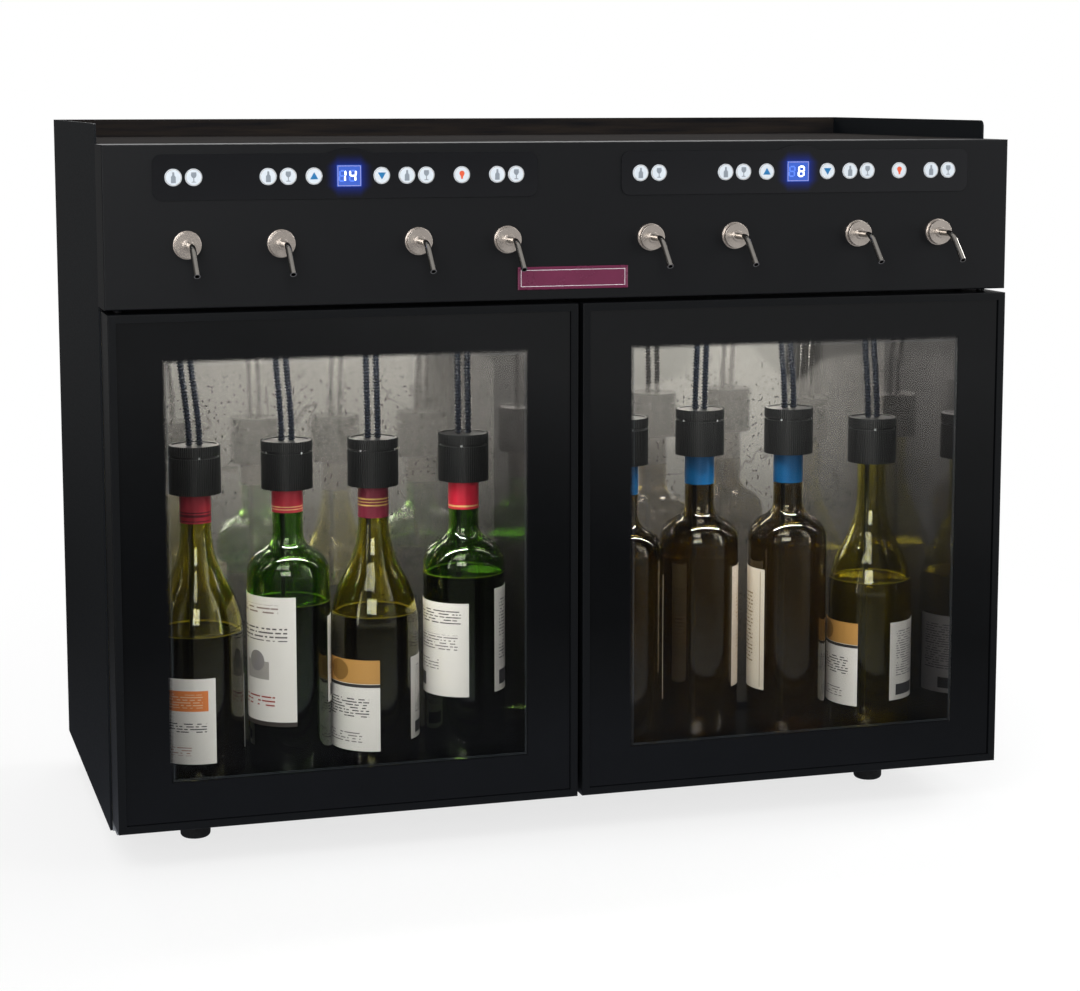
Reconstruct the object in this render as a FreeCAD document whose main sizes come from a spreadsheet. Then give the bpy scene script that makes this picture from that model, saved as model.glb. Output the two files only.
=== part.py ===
"""Two-zone wine preservation dispenser for eight open bottles, a parametric model in millimetres.

X runs along the width, Y from the front to the back and Z up. The origin is on the floor, under the
middle of the whole machine. The driving sizes are in the sheet named Sizes, and the heights and depths
that follow from them are in the variable set named Layout.
"""
import FreeCAD
import Part
import Sketcher
import math
import os
import re

V = FreeCAD.Vector
UP = V(0, 0, 1)
BACKWARD = V(0, 1, 0)
SIDES = (("left", -1), ("right", 1))
CLOSE = 0.01

doc = FreeCAD.newDocument("wine_dispenser")


# ---------------------------------------------------------------- sizes

SIZES = (
    # casing
    ("depth", 414, "door front to cabinet back"),
    ("rim_height", 17.5, "raised rim round the tray"),
    ("rim_setback", 3.5, "rim end behind the cabinet front"),
    ("rim_corner", 6, "rounding of the rim ends"),
    ("skin", 2, "steel sheet of the casing"),
    ("fit", 0.3, "clearance between fixed pieces"),
    ("foot_height", 30, "height of a foot"),
    ("foot_radius", 14, "radius of a foot"),
    ("foot_round", 4, "rounding of a foot's sole"),
    ("foot_side", 85, "foot centre from the side"),
    ("foot_front", 112, "front foot centre from the door front"),
    ("foot_back", 42, "back foot centre from the back"),
    ("panel_recess", 10, "rear panel inside the back edge"),
    ("panel_skin", 1.5, "sheet of the rear panel"),
    ("flange_width", 14, "flange that carries the rear panel"),
    ("slot_length", 90, "length of a vent slot"),
    ("slot_height", 5, "height of a vent slot"),
    ("slot_pitch", 12, "pitch of the vent slots"),
    ("slot_count", 9, "vent slots in a field"),
    ("screw_radius", 2, "radius of a panel screw"),
    ("screw_head", 4, "radius of a screw head"),
    # fascia
    ("fascia_height", 141, "height of the front fascia"),
    ("fascia_setback", 5, "fascia front behind the door front"),
    ("fascia_round", 1.2, "rounding of the fascia's front edges"),
    ("door_zone", 52, "door front to cabinet front"),
    # controls
    ("bezel_margin", 10.75, "bezel's end to its outermost key"),
    ("bezel_height", 39.5, "height of a control bezel"),
    ("bezel_shift", 1, "bezel centre outside its chamber's middle"),
    ("bezel_drop", 28, "bezel centre under the worktop"),
    ("bezel_proud", 1.2, "bezel flange in front of the fascia"),
    ("bezel_lap", 3, "bezel flange over the fascia"),
    ("bezel_corner", 8, "rounding of the bezel corners"),
    ("bezel_face", 4.2, "thickness of the bezel's face"),
    ("bezel_wall", 2, "wall behind the bezel's face"),
    ("bezel_depth", 8.5, "bezel body behind the fascia front"),
    ("bump_half", 20.3, "half width of the arch over the display"),
    ("bump_rise", 4.5, "rise of the arch over the display"),
    ("window_width", 21.5, "width of a display window"),
    ("window_height", 18.5, "height of a display window"),
    ("key_radius", 7.4, "radius of a key"),
    ("key_proud", 0.6, "key in front of the bezel"),
    ("key_travel", 0.5, "travel of a key"),
    ("key_round", 0.5, "rounding of a key's face"),
    ("key_gap", 0.3, "clearance round a key"),
    ("key_stem", 2.5, "radius of a key's stem"),
    ("pair_pitch", 17.5, "pitch of the two keys of a pair"),
    ("pair_one", -144.7, "first pair from the bezel's centre"),
    ("pair_two", -62.7, "second pair"),
    ("up_key", -31.2, "up key"),
    ("down_key", 29, "down key"),
    ("pair_three", 60.4, "third pair"),
    ("light_key", 101.5, "light key"),
    ("pair_four", 142.7, "fourth pair"),
    ("board", 1.6, "thickness of a control board"),
    # taps
    ("tap_drop", 86, "spout height under the worktop"),
    ("tap_one", 143.5, "outermost spout from its chamber's middle, outwards"),
    ("tap_two", 61.7, "second spout from its chamber's middle, outwards"),
    ("tap_three", 60.8, "third spout from its chamber's middle, inwards"),
    ("tap_four", 142.4, "innermost spout from its chamber's middle, inwards"),
    ("tube_radius", 2.8, "outer radius of a spout"),
    ("tube_bore", 2, "inner radius of a spout"),
    ("spout_level", 24, "level part in front of the fascia"),
    ("spout_bend", 18, "bend radius of a spout"),
    ("spout_fall", 45, "degrees that a spout points down"),
    ("spout_tail", 25.5, "straight part after the bend"),
    ("flange_radius", 11.4, "radius of a spout flange"),
    ("flange_depth", 7.5, "depth of a spout flange"),
    ("shank_radius", 6, "threaded shank of a spout flange"),
    ("shank_length", 17, "shank behind the fascia front"),
    ("nut_flats", 19, "width across a nut's flats"),
    ("nut_depth", 5, "depth of a nut"),
    # cold chambers
    ("side_wall", 27, "outer face to chamber side"),
    ("divider", 44, "wall between the chambers"),
    ("left_room", 52, "spare width round the left chamber's four bottles"),
    ("right_room", 58, "spare width round the right chamber's four bottles"),
    ("hose_room", 97, "tallest bottle's stopper to the chamber's ceiling"),
    ("floor_wall", 24, "cabinet bottom to chamber floor"),
    ("ceiling_wall", 26, "chamber ceiling to machine deck"),
    ("chamber_depth", 163, "depth of a chamber"),
    ("back_wall", 30, "insulation behind a chamber"),
    ("liner", 1, "stainless sheet of a liner"),
    ("deck", 1.5, "sheet of the machine deck"),
    ("tray_floor", 2, "thickness of a floor tray"),
    ("tray_rim", 6, "rim of a floor tray"),
    ("light_width", 300, "length of a light bar"),
    ("light_depth", 14, "depth of a light bar"),
    ("light_height", 8, "height of a light bar"),
    ("light_front", 8, "light bar from the chamber front"),
    # bottles
    ("burgundy_radius", 42, "body of a sloping bottle"),
    ("burgundy_height", 294, "height of a sloping bottle"),
    ("burgundy_shoulder", 128, "end of its straight body"),
    ("burgundy_neck", 232, "start of its neck"),
    ("claret_radius", 39, "body of a shouldered bottle"),
    ("claret_height", 295, "height of a shouldered bottle"),
    ("claret_shoulder", 184, "end of its straight body"),
    ("claret_neck", 222, "start of its neck"),
    ("tall_radius", 39, "body of a tall bottle"),
    ("tall_height", 307, "height of a tall bottle"),
    ("tall_shoulder", 190, "end of its straight body"),
    ("tall_neck", 228, "start of its neck"),
    ("bottle_row", 130, "bottle row behind the door front"),
    ("row_shift", 20, "how far bottles stand off the row"),
    ("glass_wall", 3, "glass of a bottle"),
    ("neck_radius", 14.2, "neck of a bottle"),
    ("lip_radius", 14.6, "lip of a bottle"),
    ("lip_height", 12, "height of the lip"),
    ("heel_round", 5, "rounding of a bottle's heel"),
    ("foil_thick", 0.3, "capsule on a neck"),
    ("foil_rise", 2, "capsule's lower end over the start of the neck, at least"),
    ("label_thick", 0.25, "paper label"),
    ("paper_gap", 0.05, "labels and capsules to glass"),
    ("wine_gap", 0.2, "wine to glass"),
    # stoppers and hoses
    ("cap_radius", 24, "radius of a stopper"),
    ("cap_top", 10, "height of a stopper's top"),
    ("cap_joint", 1.2, "joint between top and skirt"),
    ("skirt_height", 34, "height of a stopper's skirt"),
    ("skirt_lip", 4, "lip that grips the neck"),
    ("lip_room", 2.4, "room between a bottle's lip and the skirt"),
    ("spigot", 5, "spigot under a stopper's top"),
    ("plug_length", 22, "plug in the neck"),
    ("hose_radius", 3.75, "radius of a hose"),
    ("hose_spread", 9.6, "distance between the two hoses"),
    ("hose_hole_gap", 0.4, "clearance round a hose in the deck"),
    ("hose_rise", 22, "bend of a hose over its stopper"),
    ("hose_drop", 28, "bend of a hose under the ceiling"),
    ("hose_turn", 18, "last bend of a hose before its valve"),
    ("dip_radius", 2.5, "radius of a dip tube"),
    ("dip_wall", 1, "wall of a dip tube"),
    ("dip_bottom", 8, "dip tube above the bottle's base"),
    ("hole_row", 140, "hose holes behind the door front"),
    # valves and gas
    ("valve_width", 24, "width of a valve"),
    ("valve_depth", 34, "depth of a valve"),
    ("valve_front", 58, "wine valves behind the door front"),
    ("gas_valve_front", 188, "gas valves behind the door front"),
    ("valve_over", 16, "wine valve above the spout height"),
    ("coil_radius", 10, "coil of a wine valve"),
    ("gas_valve_height", 52, "height of a gas valve"),
    ("gas_entry", 36, "gas hose above the deck"),
    ("manifold_height", 22, "height of the manifold"),
    ("gas_port_radius", 3, "bore for the gas tube"),
    ("gas_port_depth", 14, "depth of the gas bore"),
    ("port_radius", 8, "body of the gas inlet"),
    # cooling and power
    ("plate_size", 150, "side of a cold plate"),
    ("plate_thick", 6, "thickness of a cold plate"),
    ("core_size", 44, "side of a thermoelectric core"),
    ("cooler_height", 300, "height of the cooler's centre"),
    ("sink_width", 130, "side of a heat sink"),
    ("sink_base", 6, "base of a heat sink"),
    ("fin_length", 46, "length of a fin"),
    ("fin_thick", 2, "thickness of a fin"),
    ("fin_count", 14, "fins of a heat sink"),
    ("fan_size", 120, "side of a fan"),
    ("fan_depth", 25, "depth of a fan"),
    ("fan_rim", 3, "wall between a fan's duct and its side"),
    ("hub_radius", 20, "hub of a fan"),
    ("blade_thick", 2.5, "thickness of a fan blade"),
    ("blade_count", 7, "blades of a fan"),
    ("tip_gap", 1.5, "blade tip to duct"),
    ("axle_radius", 2, "axle of a fan"),
    ("bearing_gap", 0.1, "clearance round a fan's axle"),
    ("supply_length", 180, "length of the power supply"),
    ("supply_depth", 90, "depth of the power supply"),
    ("supply_height", 48, "height of the power supply"),
    ("inlet_width", 28, "width of the mains inlet"),
    ("inlet_height", 20, "height of the mains inlet"),
    ("inlet_depth", 20, "depth of the mains inlet"),
    ("inlet_inset", 95, "rear inlets from the casing's side"),
    ("blade_pitch", 7, "pitch of the mains inlet's blades"),
    ("inlet_rise", 60, "rear inlets above the cabinet's bottom"),
    # doors
    ("door_gap", 3.5, "fascia to door"),
    ("door_rise", 10.5, "door's lower edge above the cabinet's bottom"),
    ("door_round", 0.8, "rounding of a door's front edges"),
    ("door_split", 4.4, "gap between the doors"),
    ("door_inset", 1.5, "door inside the casing's side"),
    ("door_depth", 46, "depth of a door frame"),
    ("frame_lip", 7, "frame seen round the glass"),
    ("lip_depth", 2, "frame in front of the glass"),
    ("frame_wall", 4.5, "door edge to glass edge"),
    ("frame_width", 24, "width of the frame's back part"),
    ("pane", 4, "thickness of a pane"),
    ("pane_gap", 12, "space between the panes"),
    ("spacer", 8, "width of the spacer bar"),
    ("view_side", 46, "door edge to window, sides"),
    ("view_top", 44, "door edge to window, top"),
    ("view_bottom", 41, "door edge to window, bottom"),
    ("seal_width", 12, "width of the door seal"),
    ("seal_outer", 14.5, "seal from the door's hinge edge"),
    ("seal_edge", 3, "seal from the door's other edges"),
    ("hinge_side", 14, "hinge axis from the casing's side"),
    ("hinge_front", 27.5, "hinge axis behind the door front"),
    ("pin_radius", 4, "radius of a hinge pin"),
    ("pin_length", 12, "hinge pin inside the door"),
    ("pin_gap", 0.1, "clearance round a hinge pin"),
    ("bracket_width", 26, "width of a hinge bracket"),
    ("bracket", 4, "plate of a lower hinge bracket"),
    ("bracket_gap", 1.4, "lower bracket to door"),
)

sheet = doc.addObject("Spreadsheet::Sheet", "Sizes")
for row, (alias, size, note) in enumerate(SIZES, start=1):
    sheet.set("A%d" % row, alias)
    sheet.set("B%d" % row, str(size))
    sheet.set("C%d" % row, note)
    sheet.setAlias("B%d" % row, alias)
doc.recompute()
SHEET_NAMES = {alias for alias, size, note in SIZES}

# Heights and depths that follow from the sizes.
LAYOUT = (
    ("left_row", "4 * burgundy_radius + 4 * claret_radius + left_room"),
    ("right_row", "6 * tall_radius + 2 * burgundy_radius + right_room"),
    ("chamber_width", "max(left_row; right_row)"),
    ("cooler_centre", "divider / 2 + chamber_width / 2"),
    ("bezel_centre", "cooler_centre + bezel_shift"),
    ("bezel_width", "2 * (pair_pitch / 2 - pair_one + key_radius + bezel_margin)"),
    ("chamber_side", "divider / 2 + chamber_width"),
    ("half", "chamber_side + side_wall"),
    ("inlet_side", "half - inlet_inset"),
    ("chamber_floor", "foot_height + floor_wall"),
    ("stand", "chamber_floor + tray_floor"),
    ("chamber_top", "stand + tall_height + spigot + cap_top + hose_room"),
    ("deck_bottom", "chamber_top + ceiling_wall"),
    ("deck_top", "deck_bottom + deck"),
    ("worktop", "deck_bottom + fascia_height"),
    ("spout_reach", "spout_level - fascia_setback + spout_bend * sin(spout_fall * 1deg)"
                    " + spout_tail * cos(spout_fall * 1deg) + tube_radius * sin(spout_fall * 1deg)"),
    ("front", "(spout_reach - depth) / 2"),
    ("back", "front + depth"),
    ("rim_top", "worktop + rim_height"),
    ("body_front", "front + door_zone"),
    ("face", "front + fascia_setback"),
    ("door_top", "deck_bottom - door_gap"),
    ("door_bottom", "foot_height + door_rise"),
    ("chamber_back", "body_front + chamber_depth"),
    ("foam_back", "chamber_back + back_wall"),
    ("panel_back", "back - panel_recess"),
    ("tap_height", "worktop - tap_drop"),
    ("key_height", "worktop - bezel_drop"),
    ("bezel_front", "face - bezel_proud"),
    ("board_front", "face + bezel_depth"),
    ("hinge_x", "half - hinge_side"),
    ("hinge_y", "front + hinge_front"),
    ("sink_front", "foam_back + fit"),
    ("fan_front", "sink_front + sink_base + fin_length + fit"),
    ("fan_bore", "fan_size / 2 - fan_rim"),
    ("inlet_z", "foot_height + inlet_rise"),
)
layout = doc.addObject("App::VarSet", "Layout")
LAYOUT_NAMES = set()


def bind(text):
    """Turn size names into references to the sheet and the layout."""
    def reference(match):
        word = match.group(0)
        if word in SHEET_NAMES:
            return "Sizes." + word
        if word in LAYOUT_NAMES:
            return "Layout." + word
        return word
    return re.sub(r"[a-z_]+", reference, text)


for alias, formula in LAYOUT:
    layout.addProperty("App::PropertyFloat", alias)
    layout.setExpression(alias, bind(formula))
    LAYOUT_NAMES.add(alias)
doc.recompute()


def size(name):
    """Read one value of the sheet or the layout."""
    if name in SHEET_NAMES:
        return float(sheet.get(name))
    return float(getattr(layout, name))


# The spouts of one chamber, from its outer side inwards.
TAPS = ("cooler_centre + tap_one", "cooler_centre + tap_two", "cooler_centre - tap_three",
        "cooler_centre - tap_four")
TAP_ORDER = [(tap, -1) for tap in TAPS] + [(tap, 1) for tap in reversed(TAPS)]


def number(text):
    """What a bound formula comes to."""
    return float(layout.evalExpression(bind(text)))


def tap_x(i):
    """The distance of a spout from the middle, the spouts counted from left to right."""
    tap, sign = TAP_ORDER[i]
    return number("%d * (%s)" % (sign, tap))


def tap_places():
    """The spouts from left to right, where they leave the fascia."""
    return [V(tap_x(i), size("face"), size("tap_height")) for i in range(len(TAP_ORDER))]


# ---------------------------------------------------------------- makers

NODES = []


def place(solid, x, y, z):
    """Bind where an object stands."""
    for axis, text in (("x", x), ("y", y), ("z", z)):
        solid.setExpression("Placement.Base." + axis, bind(text))
    return solid


def span(middle, width, grow="0 * fit"):
    """The bound low and high of a width about its middle, grown at both ends."""
    reach = "%s / 2 + (%s)" % (width, grow)
    return "%s - (%s)" % (middle, reach), "%s + %s" % (middle, reach)


def block(name, x, y, z):
    """A box between three pairs of bound coordinates."""
    solid = doc.addObject("Part::Box", name)
    for length, (low, high) in (("Length", x), ("Width", y), ("Height", z)):
        solid.setExpression(length, bind("(%s) - (%s)" % (high, low)))
    return place(solid, x[0], y[0], z[0])


def rod(name, radius, length, x, y, z, axis=UP):
    """A bound cylinder that starts at a point and runs along an axis."""
    solid = doc.addObject("Part::Cylinder", name)
    solid.setExpression("Radius", bind(radius))
    solid.setExpression("Height", bind(length))
    solid.Placement.Rotation = FreeCAD.Rotation(UP, axis)
    return place(solid, x, y, z)


def fuse(name, parts):
    """One solid from several."""
    solid = doc.addObject("Part::MultiFuse", name)
    solid.Shapes = parts
    solid.Refine = True
    return solid


def cut(name, base, tools):
    """A solid less one or more others."""
    solid = doc.addObject("Part::Cut", name)
    solid.Base = base
    solid.Tool = tools[0] if len(tools) == 1 else fuse(name + "_tools", tools)
    return solid


def rounded(name, base, radius, wanted):
    """A solid with some of its edges rounded by a size of the sheet."""
    doc.recompute()
    solid = doc.addObject("Part::Fillet", name)
    solid.Base = base
    reach = size(radius)
    solid.Edges = [(i, reach, reach) for i, edge in enumerate(base.Shape.Edges, start=1) if wanted(edge)]
    return solid


def runs_along(edge, axis):
    """Whether an edge is straight and parallel to an axis."""
    return edge.Curve.TypeId == "Part::GeomLine" and abs(edge.tangentAt(edge.FirstParameter) * axis) > 0.999


def node(solid, label):
    """Name an object as a finished piece."""
    solid.Label = label
    NODES.append(solid)
    return solid


def group(label, shapes):
    """Separate solids of one kind, kept together as one piece."""
    solid = doc.addObject("Part::Feature", label)
    solid.Shape = Part.Compound(shapes)
    solid.Placement = FreeCAD.Placement()
    return node(solid, label)


def copies(source, places):
    """Copies of a finished form at several points."""
    return [source.Shape.translated(point) for point in places]


def origin_plane(body, role):
    return next(feature for feature in body.Origin.OriginFeatures if feature.Role == role)


def sketch(body, name, role):
    """A sketch on one of a body's own origin planes."""
    drawing = body.newObject("Sketcher::SketchObject", name)
    drawing.AttachmentSupport = [(origin_plane(body, role), "")]
    drawing.MapMode = "FlatFace"
    return drawing


def dimension(drawing, kind, index, point, text, start):
    """A distance from the sketch's origin to a point, bound to the sheet."""
    number = drawing.addConstraint(Sketcher.Constraint(kind, -1, 1, index, point, start))
    drawing.setExpression("Constraints[%d]" % number, bind(text))


def draw_circle(drawing, radius):
    """A bound circle about the sketch's origin."""
    index = drawing.addGeometry(Part.Circle(V(0, 0, 0), UP, 1))
    drawing.addConstraint(Sketcher.Constraint("Coincident", index, 3, -1, 1))
    number = drawing.addConstraint(Sketcher.Constraint("Radius", index, 1))
    drawing.setExpression("Constraints[%d]" % number, bind(radius))


def draw_rectangle(drawing, low, high):
    """A bound rectangle between two corners."""
    corners = [V(-1, -1, 0), V(1, -1, 0), V(1, 1, 0), V(-1, 1, 0)]
    first = drawing.GeometryCount
    for i in range(4):
        drawing.addGeometry(Part.LineSegment(corners[i], corners[(i + 1) % 4]))
    for i in range(4):
        drawing.addConstraint(Sketcher.Constraint("Coincident", first + i, 2, first + (i + 1) % 4, 1))
        drawing.addConstraint(Sketcher.Constraint(("Horizontal", "Vertical")[i % 2], first + i))
    dimension(drawing, "DistanceX", first, 1, low[0], -1)
    dimension(drawing, "DistanceY", first, 1, low[1], -1)
    dimension(drawing, "DistanceX", first + 2, 1, high[0], 1)
    dimension(drawing, "DistanceY", first + 2, 1, high[1], 1)


def pad(body, drawing, length, backwards=False, offset=None):
    """A pad of a sketch, and the sketch moved along its normal first where asked."""
    if offset:
        drawing.setExpression("AttachmentOffset.Base.z", bind(offset))
    feature = body.newObject("PartDesign::Pad", drawing.Name + "_pad")
    feature.Profile = drawing
    feature.setExpression("Length", bind(length))
    feature.Reversed = backwards
    return feature


# ---------------------------------------------------------------- casing

def cabinet_shell():
    """Folded steel sides and bottom, with the flange that takes the rear panel."""
    outer = block("shell_outer", ("-half", "half"), ("body_front", "back"), ("foot_height", "rim_top"))
    room = block("shell_room", ("-half + skin", "half - skin"), ("body_front - skin", "back + skin"),
                 ("foot_height + skin", "rim_top + skin"))
    step = block("shell_step", ("-half - skin", "half + skin"),
                 ("body_front - skin", "body_front + rim_setback"), ("worktop", "rim_top + skin"))
    walls = cut("shell_walls", outer, [room, step])
    flanges = []
    for side, sign in SIDES:
        flanges.append(block("shell_flange_" + side,
                             span("%d * (half - skin - flange_width / 2)" % sign, "flange_width"),
                             ("panel_back - panel_skin - fit - skin", "panel_back - panel_skin - fit"),
                             ("foot_height + skin", "worktop - skin - fit")))
    body = fuse("shell_body", [walls] + flanges)
    holes = screw_rods("shell_screw_holes", "screw_radius + fit", "panel_back - 5 * screw_radius")
    drilled = cut("shell_drilled", body, holes)

    def rim_end(edge):
        centre = edge.CenterOfMass
        low_front = abs(centre.y - size("body_front") - size("rim_setback")) < CLOSE
        return low_front and abs(centre.z - size("rim_top")) < CLOSE and runs_along(edge, V(1, 0, 0))

    node(rounded("shell_rounded", drilled, "rim_corner", rim_end), "cabinet_shell")


def screw_places():
    """The rear panel's screws, as pairs of bound X and Z."""
    inset = "half - skin - flange_width / 2"
    heights = ["foot_height + skin + flange_width + (worktop - foot_height - 4 * flange_width) * %d / 4" % i
               for i in range(5)]
    return [("%s(%s)" % ("-" if sign < 0 else "", inset), z) for side, sign in SIDES for z in heights]


def screw_rods(name, radius, start):
    return [rod("%s_%d" % (name, i), radius, "back - (%s)" % start, x, start, z, BACKWARD)
            for i, (x, z) in enumerate(screw_places())]


def top_tray():
    """The tray that glasses stand on, with its raised back."""
    body = doc.addObject("PartDesign::Body", "tray_body")
    floor = sketch(body, "tray_floor_sketch", "XY_Plane")
    draw_rectangle(floor, ("-half + skin + fit", "body_front + fit"), ("half - skin - fit", "back"))
    pad(body, floor, "skin", offset="worktop - skin")
    rim = sketch(body, "tray_rim_sketch", "XY_Plane")
    draw_rectangle(rim, ("-half + skin + fit", "back - skin"), ("half - skin - fit", "back"))
    pad(body, rim, "rim_height", offset="worktop")
    node(body, "top_tray")


def rear_panel():
    """A flat panel with two fields of vent slots, and openings for the two inlets."""
    panel = block("panel_sheet", ("-half + skin + fit", "half - skin - fit"),
                  ("panel_back - panel_skin", "panel_back"),
                  ("foot_height + skin + fit", "worktop - skin - fit"))
    slots = []
    count = int(size("slot_count"))
    for side, sign in SIDES:
        for half_side, half_sign in SIDES:
            for i in range(count):
                middle = "%d * cooler_centre + %d * (slot_length / 2 + slot_pitch / 2)" % (sign, half_sign)
                height = "cooler_height + (%d - (slot_count - 1) / 2) * slot_pitch" % i
                slots.append(block("slot_%s_%s_%d" % (side, half_side, i), span(middle, "slot_length"),
                                   span("panel_back", "slot_pitch"), span(height, "slot_height")))
    slots += screw_rods("panel_holes", "screw_radius + fit", "panel_back - 5 * screw_radius")
    slots.append(block("mains_opening", span("inlet_side", "inlet_width", "fit"),
                       span("panel_back", "slot_pitch"), span("inlet_z", "inlet_height", "fit")))
    slots.append(rod("gas_opening", "port_radius + fit", "2 * slot_pitch", "-inlet_side",
                     "panel_back - slot_pitch", "inlet_z", BACKWARD))
    node(cut("panel_cut", panel, slots), "rear_panel")


def panel_screws():
    """Ten pan-head screws that hold the rear panel."""
    head = rod("screw_head_form", "screw_head", "screw_radius", "0", "0", "0", BACKWARD)
    shank = rod("screw_shank_form", "screw_radius", "4 * screw_radius", "0", "-4 * screw_radius", "0",
                BACKWARD)
    screw = fuse("screw_form", [head, shank])
    doc.recompute()
    side = size("half") - size("skin") - size("flange_width") / 2
    low = size("foot_height") + size("skin") + size("flange_width")
    rise = (size("worktop") - size("foot_height") - 4 * size("flange_width")) / 4
    places = [V(sign * side, size("panel_back"), low + i * rise) for name, sign in SIDES for i in range(5)]
    group("panel_screws", copies(screw, places))


def feet():
    """Four rubber feet with rounded soles."""
    body = doc.addObject("PartDesign::Body", "foot_form")
    drawing = sketch(body, "foot_sketch", "XY_Plane")
    draw_circle(drawing, "foot_radius")
    column = pad(body, drawing, "foot_height")
    doc.recompute()
    sole = body.newObject("PartDesign::Fillet", "foot_sole")
    edges = column.Shape.Edges
    low = min(range(len(edges)), key=lambda i: edges[i].CenterOfMass.z + 1000 * edges[i].isClosed() * -1)
    sole.Base = (column, ["Edge%d" % (low + 1)])
    sole.setExpression("Radius", bind("foot_round"))
    doc.recompute()
    side = size("half") - size("foot_side")
    rows = (size("front") + size("foot_front"), size("back") - size("foot_back"))
    group("feet", copies(body, [V(sign * side, y, 0) for name, sign in SIDES for y in rows]))


def front_fascia():
    """The black front above the doors: a shallow tray of sheet, open to the back."""
    body = doc.addObject("PartDesign::Body", "fascia_body")
    body.setExpression("Placement.Base.y", bind("face"))
    outline = sketch(body, "fascia_outline", "XZ_Plane")
    draw_rectangle(outline, ("-half", "deck_bottom"), ("half", "worktop"))
    pad(body, outline, "body_front - fit - face", backwards=True)
    hollow = sketch(body, "fascia_hollow", "XZ_Plane")
    draw_rectangle(hollow, ("-half + skin", "deck_bottom + skin"), ("half - skin", "worktop - skin"))
    hollow.setExpression("AttachmentOffset.Base.z", bind("-skin"))
    room = body.newObject("PartDesign::Pocket", "fascia_room")
    room.Profile = hollow
    room.setExpression("Length", bind("door_zone"))
    tools = []
    for side, sign in SIDES:
        middle = "%d * bezel_centre" % sign
        tools.append(block("bezel_hole_" + side, span(middle, "bezel_width", "fit - bezel_lap"),
                           ("face - skin", "face + 2 * skin"),
                           span("key_height", "bezel_height", "fit - bezel_lap")))
        tools.append(rod("pin_hole_" + side, "pin_radius + fit", "3 * skin", "%d * hinge_x" % sign,
                         "hinge_y", "deck_bottom - skin"))
        for i, tap in enumerate(TAPS):
            tools.append(rod("tap_hole_%s_%d" % (side, i), "shank_radius + fit", "3 * skin",
                             "%d * (%s)" % (sign, tap), "face - skin", "tap_height", BACKWARD))
    soft = rounded("fascia_soft", body, "fascia_round",
                   lambda edge: abs(edge.CenterOfMass.y - size("face")) < CLOSE
                   and edge.Length > size("skin"))
    node(cut("fascia_cut", soft, tools), "front_fascia")


# ---------------------------------------------------------------- cold chambers

def chamber(name, sign, grow, top_grow=None):
    """The space of one chamber, grown by a bound margin on every closed side."""
    near, far = "divider / 2 - (%s)" % grow, "chamber_side + (%s)" % grow
    x = (near, far) if sign > 0 else ("-(%s)" % far, "-(%s)" % near)
    return block(name, x, ("body_front - skin", "chamber_back + (%s)" % grow),
                 ("chamber_floor - (%s)" % grow, "chamber_top + (%s)" % (top_grow or grow)))


def hose_holes(name, sides):
    """Rods that clear the hoses through the ceiling and the deck."""
    rods = []
    for i, (tap, sign) in enumerate(TAP_ORDER):
        if sign not in sides:
            continue
        for kind, shift in (("wine", "-"), ("gas", "+")):
            rods.append(rod("%s_%s_%d" % (name, kind, i), "hose_radius + hose_hole_gap",
                            "ceiling_wall + 3 * skin", "%s %s hose_spread / 2" % (hole_x(i), shift),
                            "front + hole_row", "chamber_top - skin"))
    return rods


def insulation():
    """One moulded block of foam round both chambers."""
    foam = block("foam_block", ("-half + skin + fit", "half - skin - fit"),
                 ("body_front + liner + fit", "foam_back"), ("foot_height + skin + fit", "deck_bottom"))
    tools = [chamber("foam_chamber_" + side, sign, "liner + fit") for side, sign in SIDES]
    for side, sign in SIDES:
        for name, width, start, end in (
                ("plate", "plate_size", "chamber_back", "chamber_back + liner + plate_thick + 2 * fit"),
                ("core", "core_size", "chamber_back", "foam_back + skin")):
            tools.append(block("foam_%s_%s" % (name, side), span("%d * cooler_centre" % sign, width, "fit"),
                               (start, end), span("cooler_height", width, "fit")))
    tools += hose_holes("foam_holes", (-1, 1))
    node(cut("foam_cut", foam, tools), "insulation")


def chamber_liners():
    """Two deep-drawn stainless liners with a flange round the front."""
    shapes = []
    for side, sign in SIDES:
        skin = chamber("liner_skin_" + side, sign, "liner")
        outer = "half - skin - fit"
        x = ("fit / 2", outer) if sign > 0 else ("-(%s)" % outer, "-fit / 2")
        flange = block("liner_flange_" + side, x, ("body_front", "body_front + liner"),
                       ("foot_height + skin + fit", "deck_bottom"))
        front = block("liner_front_" + side, ("-half", "half"), ("body_front - depth", "body_front"),
                      ("0", "rim_top"))
        body = fuse("liner_body_" + side, [skin, flange])
        tools = [chamber("liner_room_" + side, sign, "0 * liner"), front]
        shapes.append(cut("liner_" + side, body, tools + hose_holes("liner_holes_" + side, (sign,))))
    doc.recompute()
    group("chamber_liners", [shape.Shape for shape in shapes])


def floor_trays():
    """A black drip tray with a low rim on the floor of each chamber."""
    shapes = []
    for side, sign in SIDES:
        near, far = "divider / 2 + fit", "chamber_side - fit"
        x = (near, far) if sign > 0 else ("-(%s)" % far, "-(%s)" % near)
        plate = block("tray_plate_" + side, x, ("body_front + tray_rim", "chamber_back - fit"),
                      ("chamber_floor", "chamber_floor + tray_rim"))
        inner = (x[0] + " + tray_floor", x[1] + " - tray_floor")
        room = block("tray_room_" + side, inner,
                     ("body_front + tray_rim + tray_floor", "chamber_back - fit - tray_floor"),
                     ("stand", "stand + tray_rim"))
        shapes.append(cut("floor_tray_" + side, plate, [room]))
    doc.recompute()
    group("floor_trays", [shape.Shape for shape in shapes])


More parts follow.
